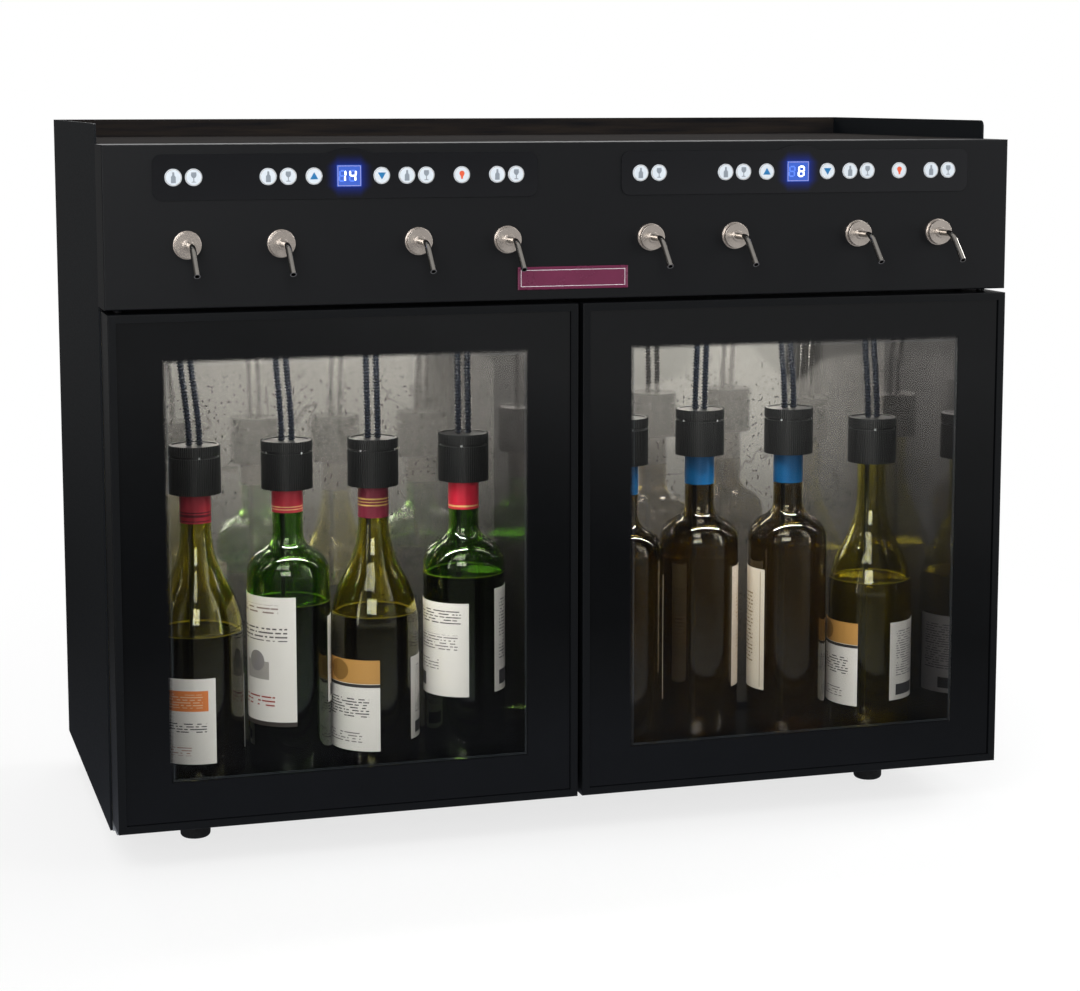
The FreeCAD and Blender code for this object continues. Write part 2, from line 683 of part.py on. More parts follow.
def light_bars():
    """A light bar under the ceiling of each chamber."""
    shapes = []
    for side, sign in SIDES:
        middle = "%d * (divider / 2 + chamber_side) / 2" % sign
        bar = block("light_form_" + side, span(middle, "light_width"),
                    ("body_front + light_front", "body_front + light_front + light_depth"),
                    ("chamber_top - light_height", "chamber_top"))
        shapes.append(rounded("light_round_" + side, bar, "skin",
                              lambda edge: runs_along(edge, V(1, 0, 0))
                              and edge.CenterOfMass.z < size("chamber_top") - size("skin")))
    doc.recompute()
    group("light_bars", [shape.Shape for shape in shapes])


def machine_deck():
    """The sheet over the insulation that the valves stand on."""
    deck = block("deck_sheet", ("-half + skin + fit", "half - skin - fit"), ("body_front", "foam_back"),
                 ("deck_bottom", "deck_top"))
    node(cut("deck_cut", deck, hose_holes("deck_holes", (-1, 1))), "machine_deck")


# ---------------------------------------------------------------- controls

PAIRS = ("pair_one", "pair_two", "pair_three", "pair_four")


def key_list():
    """The keys of one panel, each with its place from the panel's centre."""
    keys = []
    for i, pair in enumerate(PAIRS, start=1):
        keys.append(("bottle_key_%d" % i, pair + " - pair_pitch / 2"))
        keys.append(("glass_key_%d" % i, pair + " + pair_pitch / 2"))
    return keys + [("up_key", "up_key"), ("down_key", "down_key"), ("light_key", "light_key")]


def control_bezels():
    """Two moulded panels with an arch over the display and a bore for every key."""
    shapes = []
    for side, sign in SIDES:
        middle = "%d * bezel_centre" % sign
        x = span(middle, "bezel_width")
        z = span("key_height", "bezel_height")
        flange = block("bezel_flange_" + side, x, ("bezel_front", "face"), z)
        corners = rounded("bezel_corners_" + side, flange, "bezel_corner",
                          lambda edge: runs_along(edge, BACKWARD))
        arch_radius = "(bump_half ^ 2 + bump_rise ^ 2) / (2 * bump_rise)"
        arch = rod("bezel_arch_" + side, arch_radius, "bezel_proud", middle, "bezel_front",
                   "%s + bump_rise - %s" % (z[1], arch_radius), BACKWARD)
        over = block("bezel_over_" + side, x, ("bezel_front", "face"),
                     ("key_height", z[1] + " + 2 * bump_rise"))
        bump = doc.addObject("Part::Common", "bezel_bump_" + side)
        bump.Base = arch
        bump.Tool = over
        body = block("bezel_body_" + side, span(middle, "bezel_width", "-bezel_lap"),
                     ("bezel_front", "board_front"), span("key_height", "bezel_height", "-bezel_lap"))
        room = block("bezel_room_" + side, span(middle, "bezel_width", "-bezel_lap - bezel_wall"),
                     ("bezel_front + bezel_face", "board_front + bezel_wall"),
                     span("key_height", "bezel_height", "-bezel_lap - bezel_wall"))
        window = block("bezel_window_" + side, span(middle, "window_width", "fit"),
                       ("bezel_front - skin", "board_front"), span("key_height", "window_height", "fit"))
        tools = [room, window]
        for name, offset in key_list():
            tools.append(rod("bore_%s_%s" % (side, name), "key_radius + key_gap", "bezel_face + 2 * skin",
                             "%s + %s" % (middle, offset), "bezel_front - skin", "key_height", BACKWARD))
        shapes.append(cut("bezel_" + side, fuse("bezel_solid_" + side, [corners, bump, body]), tools))
    doc.recompute()
    group("control_bezels", [shape.Shape for shape in shapes])


def display_windows():
    """The blue two-digit displays, each a block from the board to the bezel's front."""
    shapes = []
    for side, sign in SIDES:
        middle = "%d * bezel_centre" % sign
        shapes.append(block("display_" + side, span(middle, "window_width"), ("bezel_front", "board_front"),
                            span("key_height", "window_height")))
    doc.recompute()
    group("display_windows", [shape.Shape for shape in shapes])


def control_boards():
    """A circuit board behind each bezel, with a switch behind every key."""
    shapes = []
    for side, sign in SIDES:
        middle = "%d * bezel_centre" % sign
        plate = block("board_plate_" + side, span(middle, "bezel_width", "-bezel_lap"),
                      ("board_front", "board_front + board"),
                      span("key_height", "bezel_height", "-bezel_lap"))
        switches = [rod("switch_%s_%s" % (side, name), "key_stem", "board", "%s + %s" % (middle, offset),
                        "board_front - board", "key_height", BACKWARD) for name, offset in key_list()]
        shapes.append(fuse("board_" + side, [plate] + switches))
    doc.recompute()
    group("control_boards", [shape.Shape for shape in shapes])


def keys():
    """One round key with its stem, copied to every place on the two panels."""
    cap = rod("key_cap", "key_radius", "bezel_face + key_proud", "0", "0", "0", BACKWARD)
    reach = "board_front - board - key_travel - key_gap - bezel_front + key_proud"
    stem = rod("key_stem_form", "key_stem", reach, "0", "0", "0", BACKWARD)
    solid = fuse("key_solid", [cap, stem])
    form = rounded("key_form", solid, "key_round",
                   lambda edge: edge.isClosed() and abs(edge.CenterOfMass.y) < CLOSE)
    doc.recompute()
    for side, sign in SIDES:
        for name, offset in key_list():
            key = doc.addObject("Part::Feature", "%s_%s" % (side, name))
            key.Shape = form.Shape
            place(key, "%d * bezel_centre + %s" % (sign, offset), "bezel_front - key_proud", "key_height")
            node(key, "%s_%s" % (side, name))


# ---------------------------------------------------------------- taps

def spouts():
    """A bent stainless tube, from its valve out through the fascia, copied to all eight places."""
    body = doc.addObject("PartDesign::Body", "spout_form")
    path = sketch(body, "spout_path", "YZ_Plane")
    fall = math.radians(size("spout_fall"))
    level, bend, tail = size("spout_level"), size("spout_bend"), size("spout_tail")
    start = size("valve_front") - size("fascia_setback")
    turn = V(-level, -bend, 0)
    end = turn + V(-math.sin(fall), math.cos(fall), 0) * bend
    tip = end + V(-math.cos(fall), -math.sin(fall), 0) * tail
    path.addGeometry(Part.LineSegment(V(start, 0, 0), V(-level, 0, 0)))
    path.addGeometry(Part.ArcOfCircle(Part.Circle(turn, UP, bend), math.pi / 2, math.pi / 2 + fall))
    path.addGeometry(Part.LineSegment(end, tip))
    path.addConstraint(Sketcher.Constraint("PointOnObject", 0, 1, -1))
    path.addConstraint(Sketcher.Constraint("Horizontal", 0))
    path.addConstraint(Sketcher.Constraint("Tangent", 0, 2, 1, 1))
    path.addConstraint(Sketcher.Constraint("Tangent", 1, 2, 2, 1))
    dimension(path, "DistanceX", 0, 1, "valve_front - fascia_setback", start)
    dimension(path, "DistanceX", 0, 2, "-spout_level", -level)
    for kind, index, text, value in (("Radius", 1, "spout_bend", bend), ("Distance", 2, "spout_tail", tail)):
        number = path.addConstraint(Sketcher.Constraint(kind, index, value))
        path.setExpression("Constraints[%d]" % number, bind(text))
    dimension(path, "DistanceY", 2, 2,
              "-spout_bend * (1 - cos(spout_fall * 1deg)) - spout_tail * sin(spout_fall * 1deg)", tip.y)
    doc.recompute()
    ring = sketch(body, "spout_ring", "XZ_Plane")
    draw_circle(ring, "tube_radius")
    draw_circle(ring, "tube_bore")
    ring.setExpression("AttachmentOffset.Base.z", bind("fascia_setback - valve_front"))
    doc.recompute()
    pipe = body.newObject("PartDesign::AdditivePipe", "spout_tube")
    pipe.Profile = ring
    pipe.Spine = (path, ["Edge1", "Edge2", "Edge3"])
    doc.recompute()
    group("spouts", copies(body, tap_places()))


def spout_flanges():
    """A stepped flange with a threaded shank for every spout, and the nut behind the fascia."""
    plate = rod("flange_plate", "flange_radius + skin / 2", "skin", "0", "-skin", "0", BACKWARD)
    disc = rod("flange_disc", "flange_radius", "flange_depth", "0", "-flange_depth", "0", BACKWARD)
    collar = rod("flange_collar", "tube_radius + skin", "flange_depth + skin", "0",
                 "-flange_depth - skin", "0", BACKWARD)
    shank = rod("flange_shank", "shank_radius", "shank_length", "0", "0", "0", BACKWARD)
    solid = fuse("flange_solid", [plate, disc, collar, shank])
    soft = rounded("flange_soft", solid, "key_gap",
                   lambda edge: edge.isClosed() and edge.CenterOfMass.y < -size("skin") / 2)
    bore = rod("flange_bore", "tube_radius + fit / 2", "flange_depth + shank_length + 4 * skin", "0",
               "-flange_depth - 2 * skin", "0", BACKWARD)
    flange = cut("flange_form", soft, [bore])
    hexagon = doc.addObject("Part::Prism", "nut_blank")
    hexagon.Polygon = 6
    hexagon.setExpression("Circumradius", bind("nut_flats / sqrt(3)"))
    hexagon.setExpression("Height", bind("nut_depth"))
    hexagon.Placement.Rotation = FreeCAD.Rotation(UP, BACKWARD)
    place(hexagon, "0", "skin", "0")
    thread = rod("nut_thread", "shank_radius + fit / 2", "nut_depth + 2 * skin", "0", "0", "0", BACKWARD)
    nut = cut("nut_form", hexagon, [thread])
    doc.recompute()
    group("spout_flanges", copies(flange, tap_places()) + copies(nut, tap_places()))


# ---------------------------------------------------------------- bottles

MOULDS = {mould: [size("%s_%s" % (mould, part)) for part in ("radius", "height", "shoulder", "neck")]
          for mould in ("burgundy", "claret", "tall")}
# The bottles from left to right: mould, gap to the wall or bottle on its left, steps off the row, height of
# the wine.
BOTTLES = (
    ("burgundy", 24, 0, 135),
    ("claret", 5, 0, 158),
    ("burgundy", 1, 0, 143),
    ("claret", 7, 0, 176),
    ("tall", 15, -1.25, 182),
    ("tall", 15, 0.75, 180),
    ("tall", 10, 0, 184),
    ("burgundy", 9, 0, 146),
)
# How far the foil sleeve of every bottle but the last reaches down from the bottle's top.
CAPSULES = (57, 52, 60, 57, 59, 59, 59)
# The labels of each bottle: angle of the right edge from the front, angle covered, bottom and top above the
# base.
LABELS = (
    ((13, 120, 18, 98), (150, 70, 22, 92)),
    ((-1, 120, 46, 168), (122, 66, 63, 145)),
    ((-6, 118, 17, 104), (120, 79, 24, 103)),
    ((-8, 112, 62, 152), (118, 85, 64, 164)),
    ((140, 68, 46, 168),),
    ((182, 145, 48, 168),),
    ((-56, 120, 43, 164),),
    ((-39, 116, 22, 106), (92, 86, 28, 107)),
)


# How far the hose holes in the ceiling stand to the right of each bottle.
HOSE_LEANS = (-7, -3.5, 1, 2, 9, 0, -1, -1)


def bottle_x(i):
    """The bound distance of a bottle from the middle: the gaps and bottles on its left, added up."""
    half_row = len(BOTTLES) // 2
    first = i // half_row * half_row
    text = "divider / 2" if first else "-chamber_side"
    for mould, gap, steps, level in BOTTLES[first:i]:
        text += " + %g + 2 * %s_radius" % (gap, mould)
    mould, gap, steps, level = BOTTLES[i]
    return text + " + %g + %s_radius" % (gap, mould)


def hole_x(i):
    """The bound distance from the middle at which a bottle's hoses pass the ceiling."""
    return "%s + (%g)" % (bottle_x(i), HOSE_LEANS[i])


def bottle_base(i):
    """Where a bottle stands."""
    return V(number(bottle_x(i)), size("front") + size("bottle_row") + BOTTLES[i][2] * size("row_shift"),
             size("stand"))


EVEN_SHOULDER = 0.5
ROUND_SHOULDER = 0.62
STEEP_SHOULDER = 0.4


def flare(low, high):
    """Two tangent arcs from an upright wall to a narrower upright neck, between two points.

    A short steep shoulder has a larger lower arc than the long slope of a burgundy bottle.
    """
    narrow, rise = low.x - high.x, high.z - low.z
    total = (narrow ** 2 + rise ** 2) / (2 * narrow)
    first = total * (ROUND_SHOULDER if narrow > STEEP_SHOULDER * rise else EVEN_SHOULDER)
    centre = V(low.x - first, 0, low.z)
    other = V(high.x + total - first, 0, high.z)
    along = (other - centre).normalize()
    meet = centre + along * first

    def middle(hub, radius, start, end):
        return hub + ((start - hub).normalize() + (end - hub).normalize()).normalize() * radius

    return [Part.Arc(low, middle(centre, first, low, meet), meet).toShape(),
            Part.Arc(meet, middle(other, total - first, meet, high), high).toShape()]


def bottle_form(mould, inset):
    """The body of a bottle, drawn inwards by an inset for the space inside it."""
    radius, height, shoulder, neck = MOULDS[mould]
    heel = size("heel_round")
    wide, slim = radius - inset, size("neck_radius") - inset
    low = inset if inset else 0
    edges = [Part.LineSegment(V(0, 0, low), V(wide - heel, 0, low)).toShape()]
    turn = math.sqrt(0.5)
    edges.append(Part.Arc(V(wide - heel, 0, low), V(wide - heel + heel * turn, 0, low + heel - heel * turn),
                          V(wide, 0, low + heel)).toShape())
    edges.append(Part.LineSegment(V(wide, 0, low + heel), V(wide, 0, shoulder)).toShape())
    edges += flare(V(wide, 0, shoulder), V(slim, 0, neck))
    top = height + (1 if inset else 0)
    edges.append(Part.LineSegment(V(slim, 0, neck), V(slim, 0, top)).toShape())
    edges.append(Part.LineSegment(V(slim, 0, top), V(0, 0, top)).toShape())
    edges.append(Part.LineSegment(V(0, 0, top), V(0, 0, low)).toShape())
    return Part.Face(Part.Wire(edges)).revolve(V(0, 0, 0), UP, 360)


def bottles():
    """Eight open bottles: moulded glass with a hollow inside and a lip."""
    shapes = []
    for i, (mould, gap, steps, level) in enumerate(BOTTLES):
        height = MOULDS[mould][1]
        lip = Part.makeCylinder(size("lip_radius"), size("lip_height"), V(0, 0, height - size("lip_height")))
        solid = bottle_form(mould, 0).fuse(lip).cut(bottle_form(mould, size("glass_wall")))
        shapes.append(solid.removeSplitter().translated(bottle_base(i)))
    group("bottles", shapes)


def wine():
    """The wine that is left in each bottle, round the dip tube."""
    shapes = []
    for i, (mould, gap, steps, level) in enumerate(BOTTLES):
        full = bottle_form(mould, size("glass_wall") + size("wine_gap"))
        below = Part.makeCylinder(2 * size("cap_radius"), level)
        hole = Part.makeCylinder(size("dip_radius") + size("fit"), level + 1,
                                 V(-size("hose_spread") / 2, 0, size("dip_bottom") - size("fit")))
        shapes.append(full.common(below).cut(hole).translated(bottle_base(i)))
    group("wine", shapes)


def capsules():
    """The foil sleeve that is left on the neck of every bottle but the last."""
    shapes = []
    for i, length in enumerate(CAPSULES):
        radius, height, shoulder, neck = MOULDS[BOTTLES[i][0]]
        low = max(neck + size("foil_rise"), height - length)
        high = height - size("lip_height") - size("fit")
        inner = size("neck_radius") + size("paper_gap")
        outside = Part.makeCylinder(inner + size("foil_thick"), high - low, V(0, 0, low))
        inside = Part.makeCylinder(inner, high - low, V(0, 0, low))
        shapes.append(outside.cut(inside).translated(bottle_base(i)))
    group("capsules", shapes)


def labels():
    """Paper labels, bent round the straight part of each bottle."""
    shapes = []
    for i, (bottle, stickers) in enumerate(zip(BOTTLES, LABELS)):
        radius = MOULDS[bottle[0]][0] + size("paper_gap")
        outer = radius + size("label_thick")
        for right, sweep, low, high in stickers:
            corners = [V(radius, 0, low), V(outer, 0, low), V(outer, 0, high), V(radius, 0, high)]
            strip = Part.Face(Part.makePolygon(corners + corners[:1]))
            strip.rotate(V(0, 0, 0), UP, right - 90 - sweep)
            shapes.append(strip.revolve(V(0, 0, 0), UP, sweep).translated(bottle_base(i)))
    group("labels", shapes)


def stoppers():
    """The stopper on every bottle: a top with its plug, and the skirt that grips the neck."""
    plug_end = "-spigot - plug_length"
    head = fuse("stopper_head", [
        rod("stopper_top", "cap_radius", "cap_top", "0", "0", "0"),
        rod("stopper_spigot", "lip_radius + lip_room - fit", "spigot", "0", "0", "-spigot"),
        rod("stopper_plug", "neck_radius - glass_wall - fit / 2", "plug_length", "0", "0", plug_end)])
    bores = [rod("stopper_bore_" + side, "dip_radius - dip_wall", "cap_top + spigot + plug_length + 2 * skin",
                 "%d * hose_spread / 2" % sign, "0", plug_end + " - skin") for side, sign in SIDES]
    top = cut("stopper_form", head, bores)
    low = "-cap_joint - skirt_height"
    skirt = cut("skirt_form", rod("skirt_outer", "cap_radius", "skirt_height", "0", "0", low), [
        rod("skirt_inner", "lip_radius + lip_room", "skirt_height", "0", "0", low + " + skirt_lip"),
        rod("skirt_grip", "neck_radius + foil_thick + fit", "skirt_height", "0", "0", low + " - skirt_lip")])
    doc.recompute()
    places = [cap_base(i) for i in range(len(BOTTLES))]
    group("stoppers", copies(top, places) + copies(skirt, places))


def cap_base(i):
    """The underside of a stopper's top, over the lip of its bottle."""
    return bottle_base(i) + V(0, 0, MOULDS[BOTTLES[i][0]][1] + size("spigot"))


# ---------------------------------------------------------------- hoses and valves

def route(points):
    """Straight runs joined by tangent arcs, each arc as large as its two runs allow."""
    edges = []
    start = points[0]
    for i in range(1, len(points) - 1):
        into, out = points[i] - points[i - 1], points[i + 1] - points[i]
        turn = into.getAngle(out)
        trim = 0.45 * min(into.Length, out.Length)
        RADII.append(trim / math.tan(turn / 2))
        into.normalize()
        out.normalize()
        begin, end = points[i] - into * trim, points[i] + out * trim
        rise = RADII[-1] * (1 - math.cos(turn / 2))
        middle = (begin + end) * 0.5 - (out - into).normalize() * rise
        edges.append(Part.LineSegment(start, begin).toShape())
        edges.append(Part.Arc(begin, middle, end).toShape())
        start = end
    edges.append(Part.LineSegment(start, points[-1]).toShape())
    return Part.Wire(edges)


RADII = []


def hose(points, radius):
    """A hose along a route."""
    path = route(points)
    ring = Part.Wire(Part.makeCircle(radius, points[0], points[1] - points[0]))
    solid = Part.Wire(path).makePipeShell([ring], True, True)
    expected = math.pi * radius ** 2 * path.Length
    if abs(solid.Volume / expected - 1) > 0.01:
        raise RuntimeError("a hose lost its volume")
    return solid


def hoses():
    """Wine and gas hoses from every stopper through the ceiling to the valves, and the dip tubes."""
    front = size("front")
    row = front + size("hole_row")
    ceiling = size("chamber_top")
    tap_z = size("tap_height")
    gas_z = size("deck_top") + size("gas_entry")
    turn = size("hose_turn")
    shapes = []
    for i in range(len(TAP_ORDER)):
        top = cap_base(i) + V(0, 0, size("cap_top"))
        spread = size("hose_spread") / 2
        for shift in (-spread, spread):
            x = number(hole_x(i)) + shift
            points = [top + V(shift, 0, 0), top + V(shift, 0, size("hose_rise")),
                      V(x, row, ceiling - size("hose_drop"))]
            if shift < 0:
                end = front + size("valve_front") + size("valve_depth")
                port = tap_x(i) + shift
                points += [V(x, row, tap_z - turn), V(port, row - turn, tap_z), V(port, end, tap_z)]
            else:
                end = front + size("gas_valve_front")
                points += [V(x, row, gas_z - turn), V(x, row + turn, gas_z), V(x, end, gas_z)]
            shapes.append(hose(points, size("hose_radius")))
        low = bottle_base(i) + V(-spread, 0, size("dip_bottom"))
        plug_end = cap_base(i).z - size("spigot") - size("plug_length")
        shapes.append(Part.makeCylinder(size("dip_radius"), plug_end - low.z, low))
    print("smallest hose bend %.1f mm" % min(RADII))
    group("hoses", shapes)


def valve_bank():
    """Eight wine valves behind the spouts, eight gas valves and the manifold that feeds them."""
    shapes = []
    wine_y = ("front + valve_front", "front + valve_front + valve_depth")
    gas_y = ("front + gas_valve_front", "front + gas_valve_front + valve_depth")
    for i, (tap, sign) in enumerate(TAP_ORDER):
        middle = "%d * (%s)" % (sign, tap)
        body = block("valve_body_%d" % i, span(middle, "valve_width"), wine_y,
                     ("deck_top", "tap_height + valve_over"))
        coil = rod("valve_coil_%d" % i, "coil_radius", "valve_over", middle, wine_y[0] + " + valve_depth / 2",
                   "tap_height + valve_over")
        shapes.append(fuse("wine_valve_%d" % i, [body, coil]))
        shapes.append(block("gas_valve_%d" % i, span(hole_x(i), "valve_width"), gas_y,
                            ("deck_top", "deck_top + gas_valve_height")))
    shapes.append(block("manifold", ("-half + inlet_inset / 2", "half - inlet_inset / 2"), gas_y,
                        ("deck_top + gas_valve_height", "deck_top + gas_valve_height + manifold_height")))
    doc.recompute()
    group("valve_bank", [shape.Shape for shape in shapes])


def gas_inlet():
    """A push-in fitting for the gas tube, through the rear panel."""
    body = rod("gas_body", "port_radius", "gas_port_depth + 2 * panel_recess", "-inlet_side",
               "panel_back - gas_port_depth - panel_recess - skin", "inlet_z", BACKWARD)
    collar = rod("gas_collar", "port_radius + 3 * skin / 2", "skin", "-inlet_side",
                 "panel_back + fit", "inlet_z", BACKWARD)
    end = "panel_back + panel_recess - skin"
    bore = rod("gas_bore", "gas_port_radius", "gas_port_depth + skin", "-inlet_side",
               end + " - gas_port_depth", "inlet_z", BACKWARD)
    node(cut("gas_fitting", fuse("gas_solid", [body, collar]), [bore]), "gas_inlet")


# ---------------------------------------------------------------- cooling and power

def cooler_places(depth):
    """The middle of each cooler, at one of the layout's depths."""
    return [V(sign * size("cooler_centre"), size(depth), size("cooler_height")) for side, sign in SIDES]


def cooling_modules():
    """A cold plate against each liner, and the thermoelectric core behind it."""
    shapes = []
    for side, sign in SIDES:
        middle = "%d * cooler_centre" % sign
        plate_end = "chamber_back + liner + fit + plate_thick"
        for name, width, start, end in (("cold_plate", "plate_size", "chamber_back + liner + fit", plate_end),
                                        ("core", "core_size", plate_end, "foam_back + fit")):
            shapes.append(block(name + "_" + side, span(middle, width), (start, end),
                                span("cooler_height", width)))
    doc.recompute()
    group("cooling_modules", [shape.Shape for shape in shapes])


def heat_sinks():
    """A finned heat sink on the warm side of each core."""
    body = doc.addObject("PartDesign::Body", "sink_form")
    plate = sketch(body, "sink_plate", "XZ_Plane")
    draw_rectangle(plate, ("-sink_width / 2", "-sink_width / 2"), ("sink_width / 2", "sink_width / 2"))
    pad(body, plate, "sink_base", backwards=True)
    fin = sketch(body, "sink_fin", "XZ_Plane")
    draw_rectangle(fin, ("-sink_width / 2", "-sink_width / 2"),
                   ("-sink_width / 2 + fin_thick", "sink_width / 2"))
    first = pad(body, fin, "sink_base + fin_length", backwards=True)
    doc.recompute()
    row = body.newObject("PartDesign::LinearPattern", "sink_fins")
    row.Originals = [first]
    row.Direction = (origin_plane(body, "X_Axis"), [""])
    row.setExpression("Length", bind("sink_width - fin_thick"))
    row.Occurrences = int(size("fin_count"))
    body.Tip = row
    doc.recompute()
    group("heat_sinks", copies(body, cooler_places("sink_front")))


def fans():
    """Square fan frames with a spoked hub, and a bladed rotor that turns in each."""
    frame = doc.addObject("PartDesign::Body", "fan_frame_form")
    square = sketch(frame, "fan_square", "XZ_Plane")
    draw_rectangle(square, ("-fan_size / 2", "-fan_size / 2"), ("fan_size / 2", "fan_size / 2"))
    pad(frame, square, "fan_depth", backwards=True)
    duct = sketch(frame, "fan_duct", "XZ_Plane")
    draw_circle(duct, "fan_bore")
    hole = frame.newObject("PartDesign::Pocket", "fan_hole")
    hole.Profile = duct
    hole.Type = "ThroughAll"
    hole.Midplane = True
    spoke = sketch(frame, "fan_spoke", "XZ_Plane")
    draw_rectangle(spoke, ("-fan_bore - skin", "-skin"), ("fan_bore + skin", "skin"))
    pad(frame, spoke, "skin", backwards=True, offset="-fan_depth + skin")
    other = sketch(frame, "fan_other_spoke", "XZ_Plane")
    draw_rectangle(other, ("-skin", "-fan_bore - skin"), ("skin", "fan_bore + skin"))
    pad(frame, other, "skin", backwards=True, offset="-fan_depth + skin")
    hub = sketch(frame, "fan_hub_plate", "XZ_Plane")
    draw_circle(hub, "hub_radius")
    pad(frame, hub, "skin", backwards=True, offset="-fan_depth + skin")
    axle = sketch(frame, "fan_axle", "XZ_Plane")
    draw_circle(axle, "axle_radius")
    pad(frame, axle, "fan_depth / 2", backwards=True, offset="-fan_depth / 2 + skin / 2")

    rotor = doc.addObject("PartDesign::Body", "fan_rotor_form")
    drum = sketch(rotor, "rotor_drum", "XZ_Plane")
    draw_circle(drum, "hub_radius")
    pad(rotor, drum, "fan_depth - 2 * skin - 2 * fit", backwards=True, offset="-fit")
    blade = sketch(rotor, "rotor_blade", "XZ_Plane")
    draw_rectangle(blade, ("hub_radius - skin", "-blade_thick / 2"),
                   ("fan_bore - tip_gap", "blade_thick / 2"))
    first = pad(rotor, blade, "fan_depth - 4 * skin", backwards=True, offset="-skin")
    doc.recompute()
    ring = rotor.newObject("PartDesign::PolarPattern", "rotor_blades")
    ring.Originals = [first]
    ring.Axis = (origin_plane(rotor, "Y_Axis"), [""])
    ring.Angle = 360
    ring.Occurrences = int(size("blade_count"))
    rotor.Tip = ring
    doc.recompute()
    bearing = sketch(rotor, "rotor_bearing", "XZ_Plane")
    draw_circle(bearing, "axle_radius + bearing_gap")
    bore = rotor.newObject("PartDesign::Pocket", "rotor_bore")
    bore.Profile = bearing
    bore.Type = "ThroughAll"
    bore.Midplane = True
    doc.recompute()
    group("fan_frames", copies(frame, cooler_places("fan_front")))
    for side, sign in SIDES:
        turning = doc.addObject("Part::Feature", side + "_fan_rotor")
        turning.Shape = rotor.Shape
        place(turning, "%d * cooler_centre" % sign, "fan_front", "cooler_height")
        node(turning, side + "_fan_rotor")


def power_supply():
    """The power supply on the cabinet's bottom, with its terminal step."""
    x = ("inlet_side - supply_length", "inlet_side")
    case = block("supply_case", x, ("foam_back + supply_depth / 4", "foam_back + 5 * supply_depth / 4"),
                 ("foot_height + skin", "foot_height + skin + supply_height"))
    step = block("supply_step", (x[1] + " - supply_height / 2", x[1] + " + skin"),
                 ("foam_back", "foam_back + 2 * supply_depth"),
                 ("foot_height + skin + supply_height / 2", "foot_height + 2 * supply_height"))
    node(cut("supply_cut", case, [step]), "power_supply")


def power_inlet():
    """A panel inlet for a detachable mains lead, with three blades."""
    bottom = "panel_back - inlet_depth"
    body = block("inlet_body", span("inlet_side", "inlet_width"), (bottom, "panel_back + skin"),
                 span("inlet_z", "inlet_height"))
    rim = block("inlet_rim", span("inlet_side", "inlet_width", "3 * skin"),
                ("panel_back + fit", "panel_back + skin"), span("inlet_z", "inlet_height", "skin"))
    room = block("inlet_room", span("inlet_side", "inlet_width", "-skin"),
                 (bottom + " + skin", "panel_back + 2 * skin"), span("inlet_z", "inlet_height", "-skin"))
    shell = cut("inlet_shell", fuse("inlet_solid", [body, rim]), [room])
    blades = [block("inlet_blade_%d" % i, span("inlet_side + %d * blade_pitch" % i, "skin"),
                    (bottom + " + skin / 2", "panel_back - skin"),
                    span("inlet_z + %d * skin" % (1 - abs(i)), "2 * skin")) for i in (-1, 0, 1)]
    node(fuse("inlet_fused", [shell] + blades), "power_inlet")


# ---------------------------------------------------------------- doors

def door_x(sign, inset_outer, inset_inner):
    """The bound X span of a door, drawn in from its hinge edge and its free edge."""
    far, near = "half - door_inset - (%s)" % inset_outer, "door_split / 2 + (%s)" % inset_inner
    return ("-(%s)" % far, "-(%s)" % near) if sign < 0 else (near, far)


def door_layer(name, sign, y, outer, free=None, bottom=None, top=None):
    """A slab of a door, drawn in from the door's outline on all four sides."""
    return block(name, door_x(sign, outer, free or outer), y,
                 ("door_bottom + (%s)" % (bottom or outer), "door_top - (%s)" % (top or outer)))


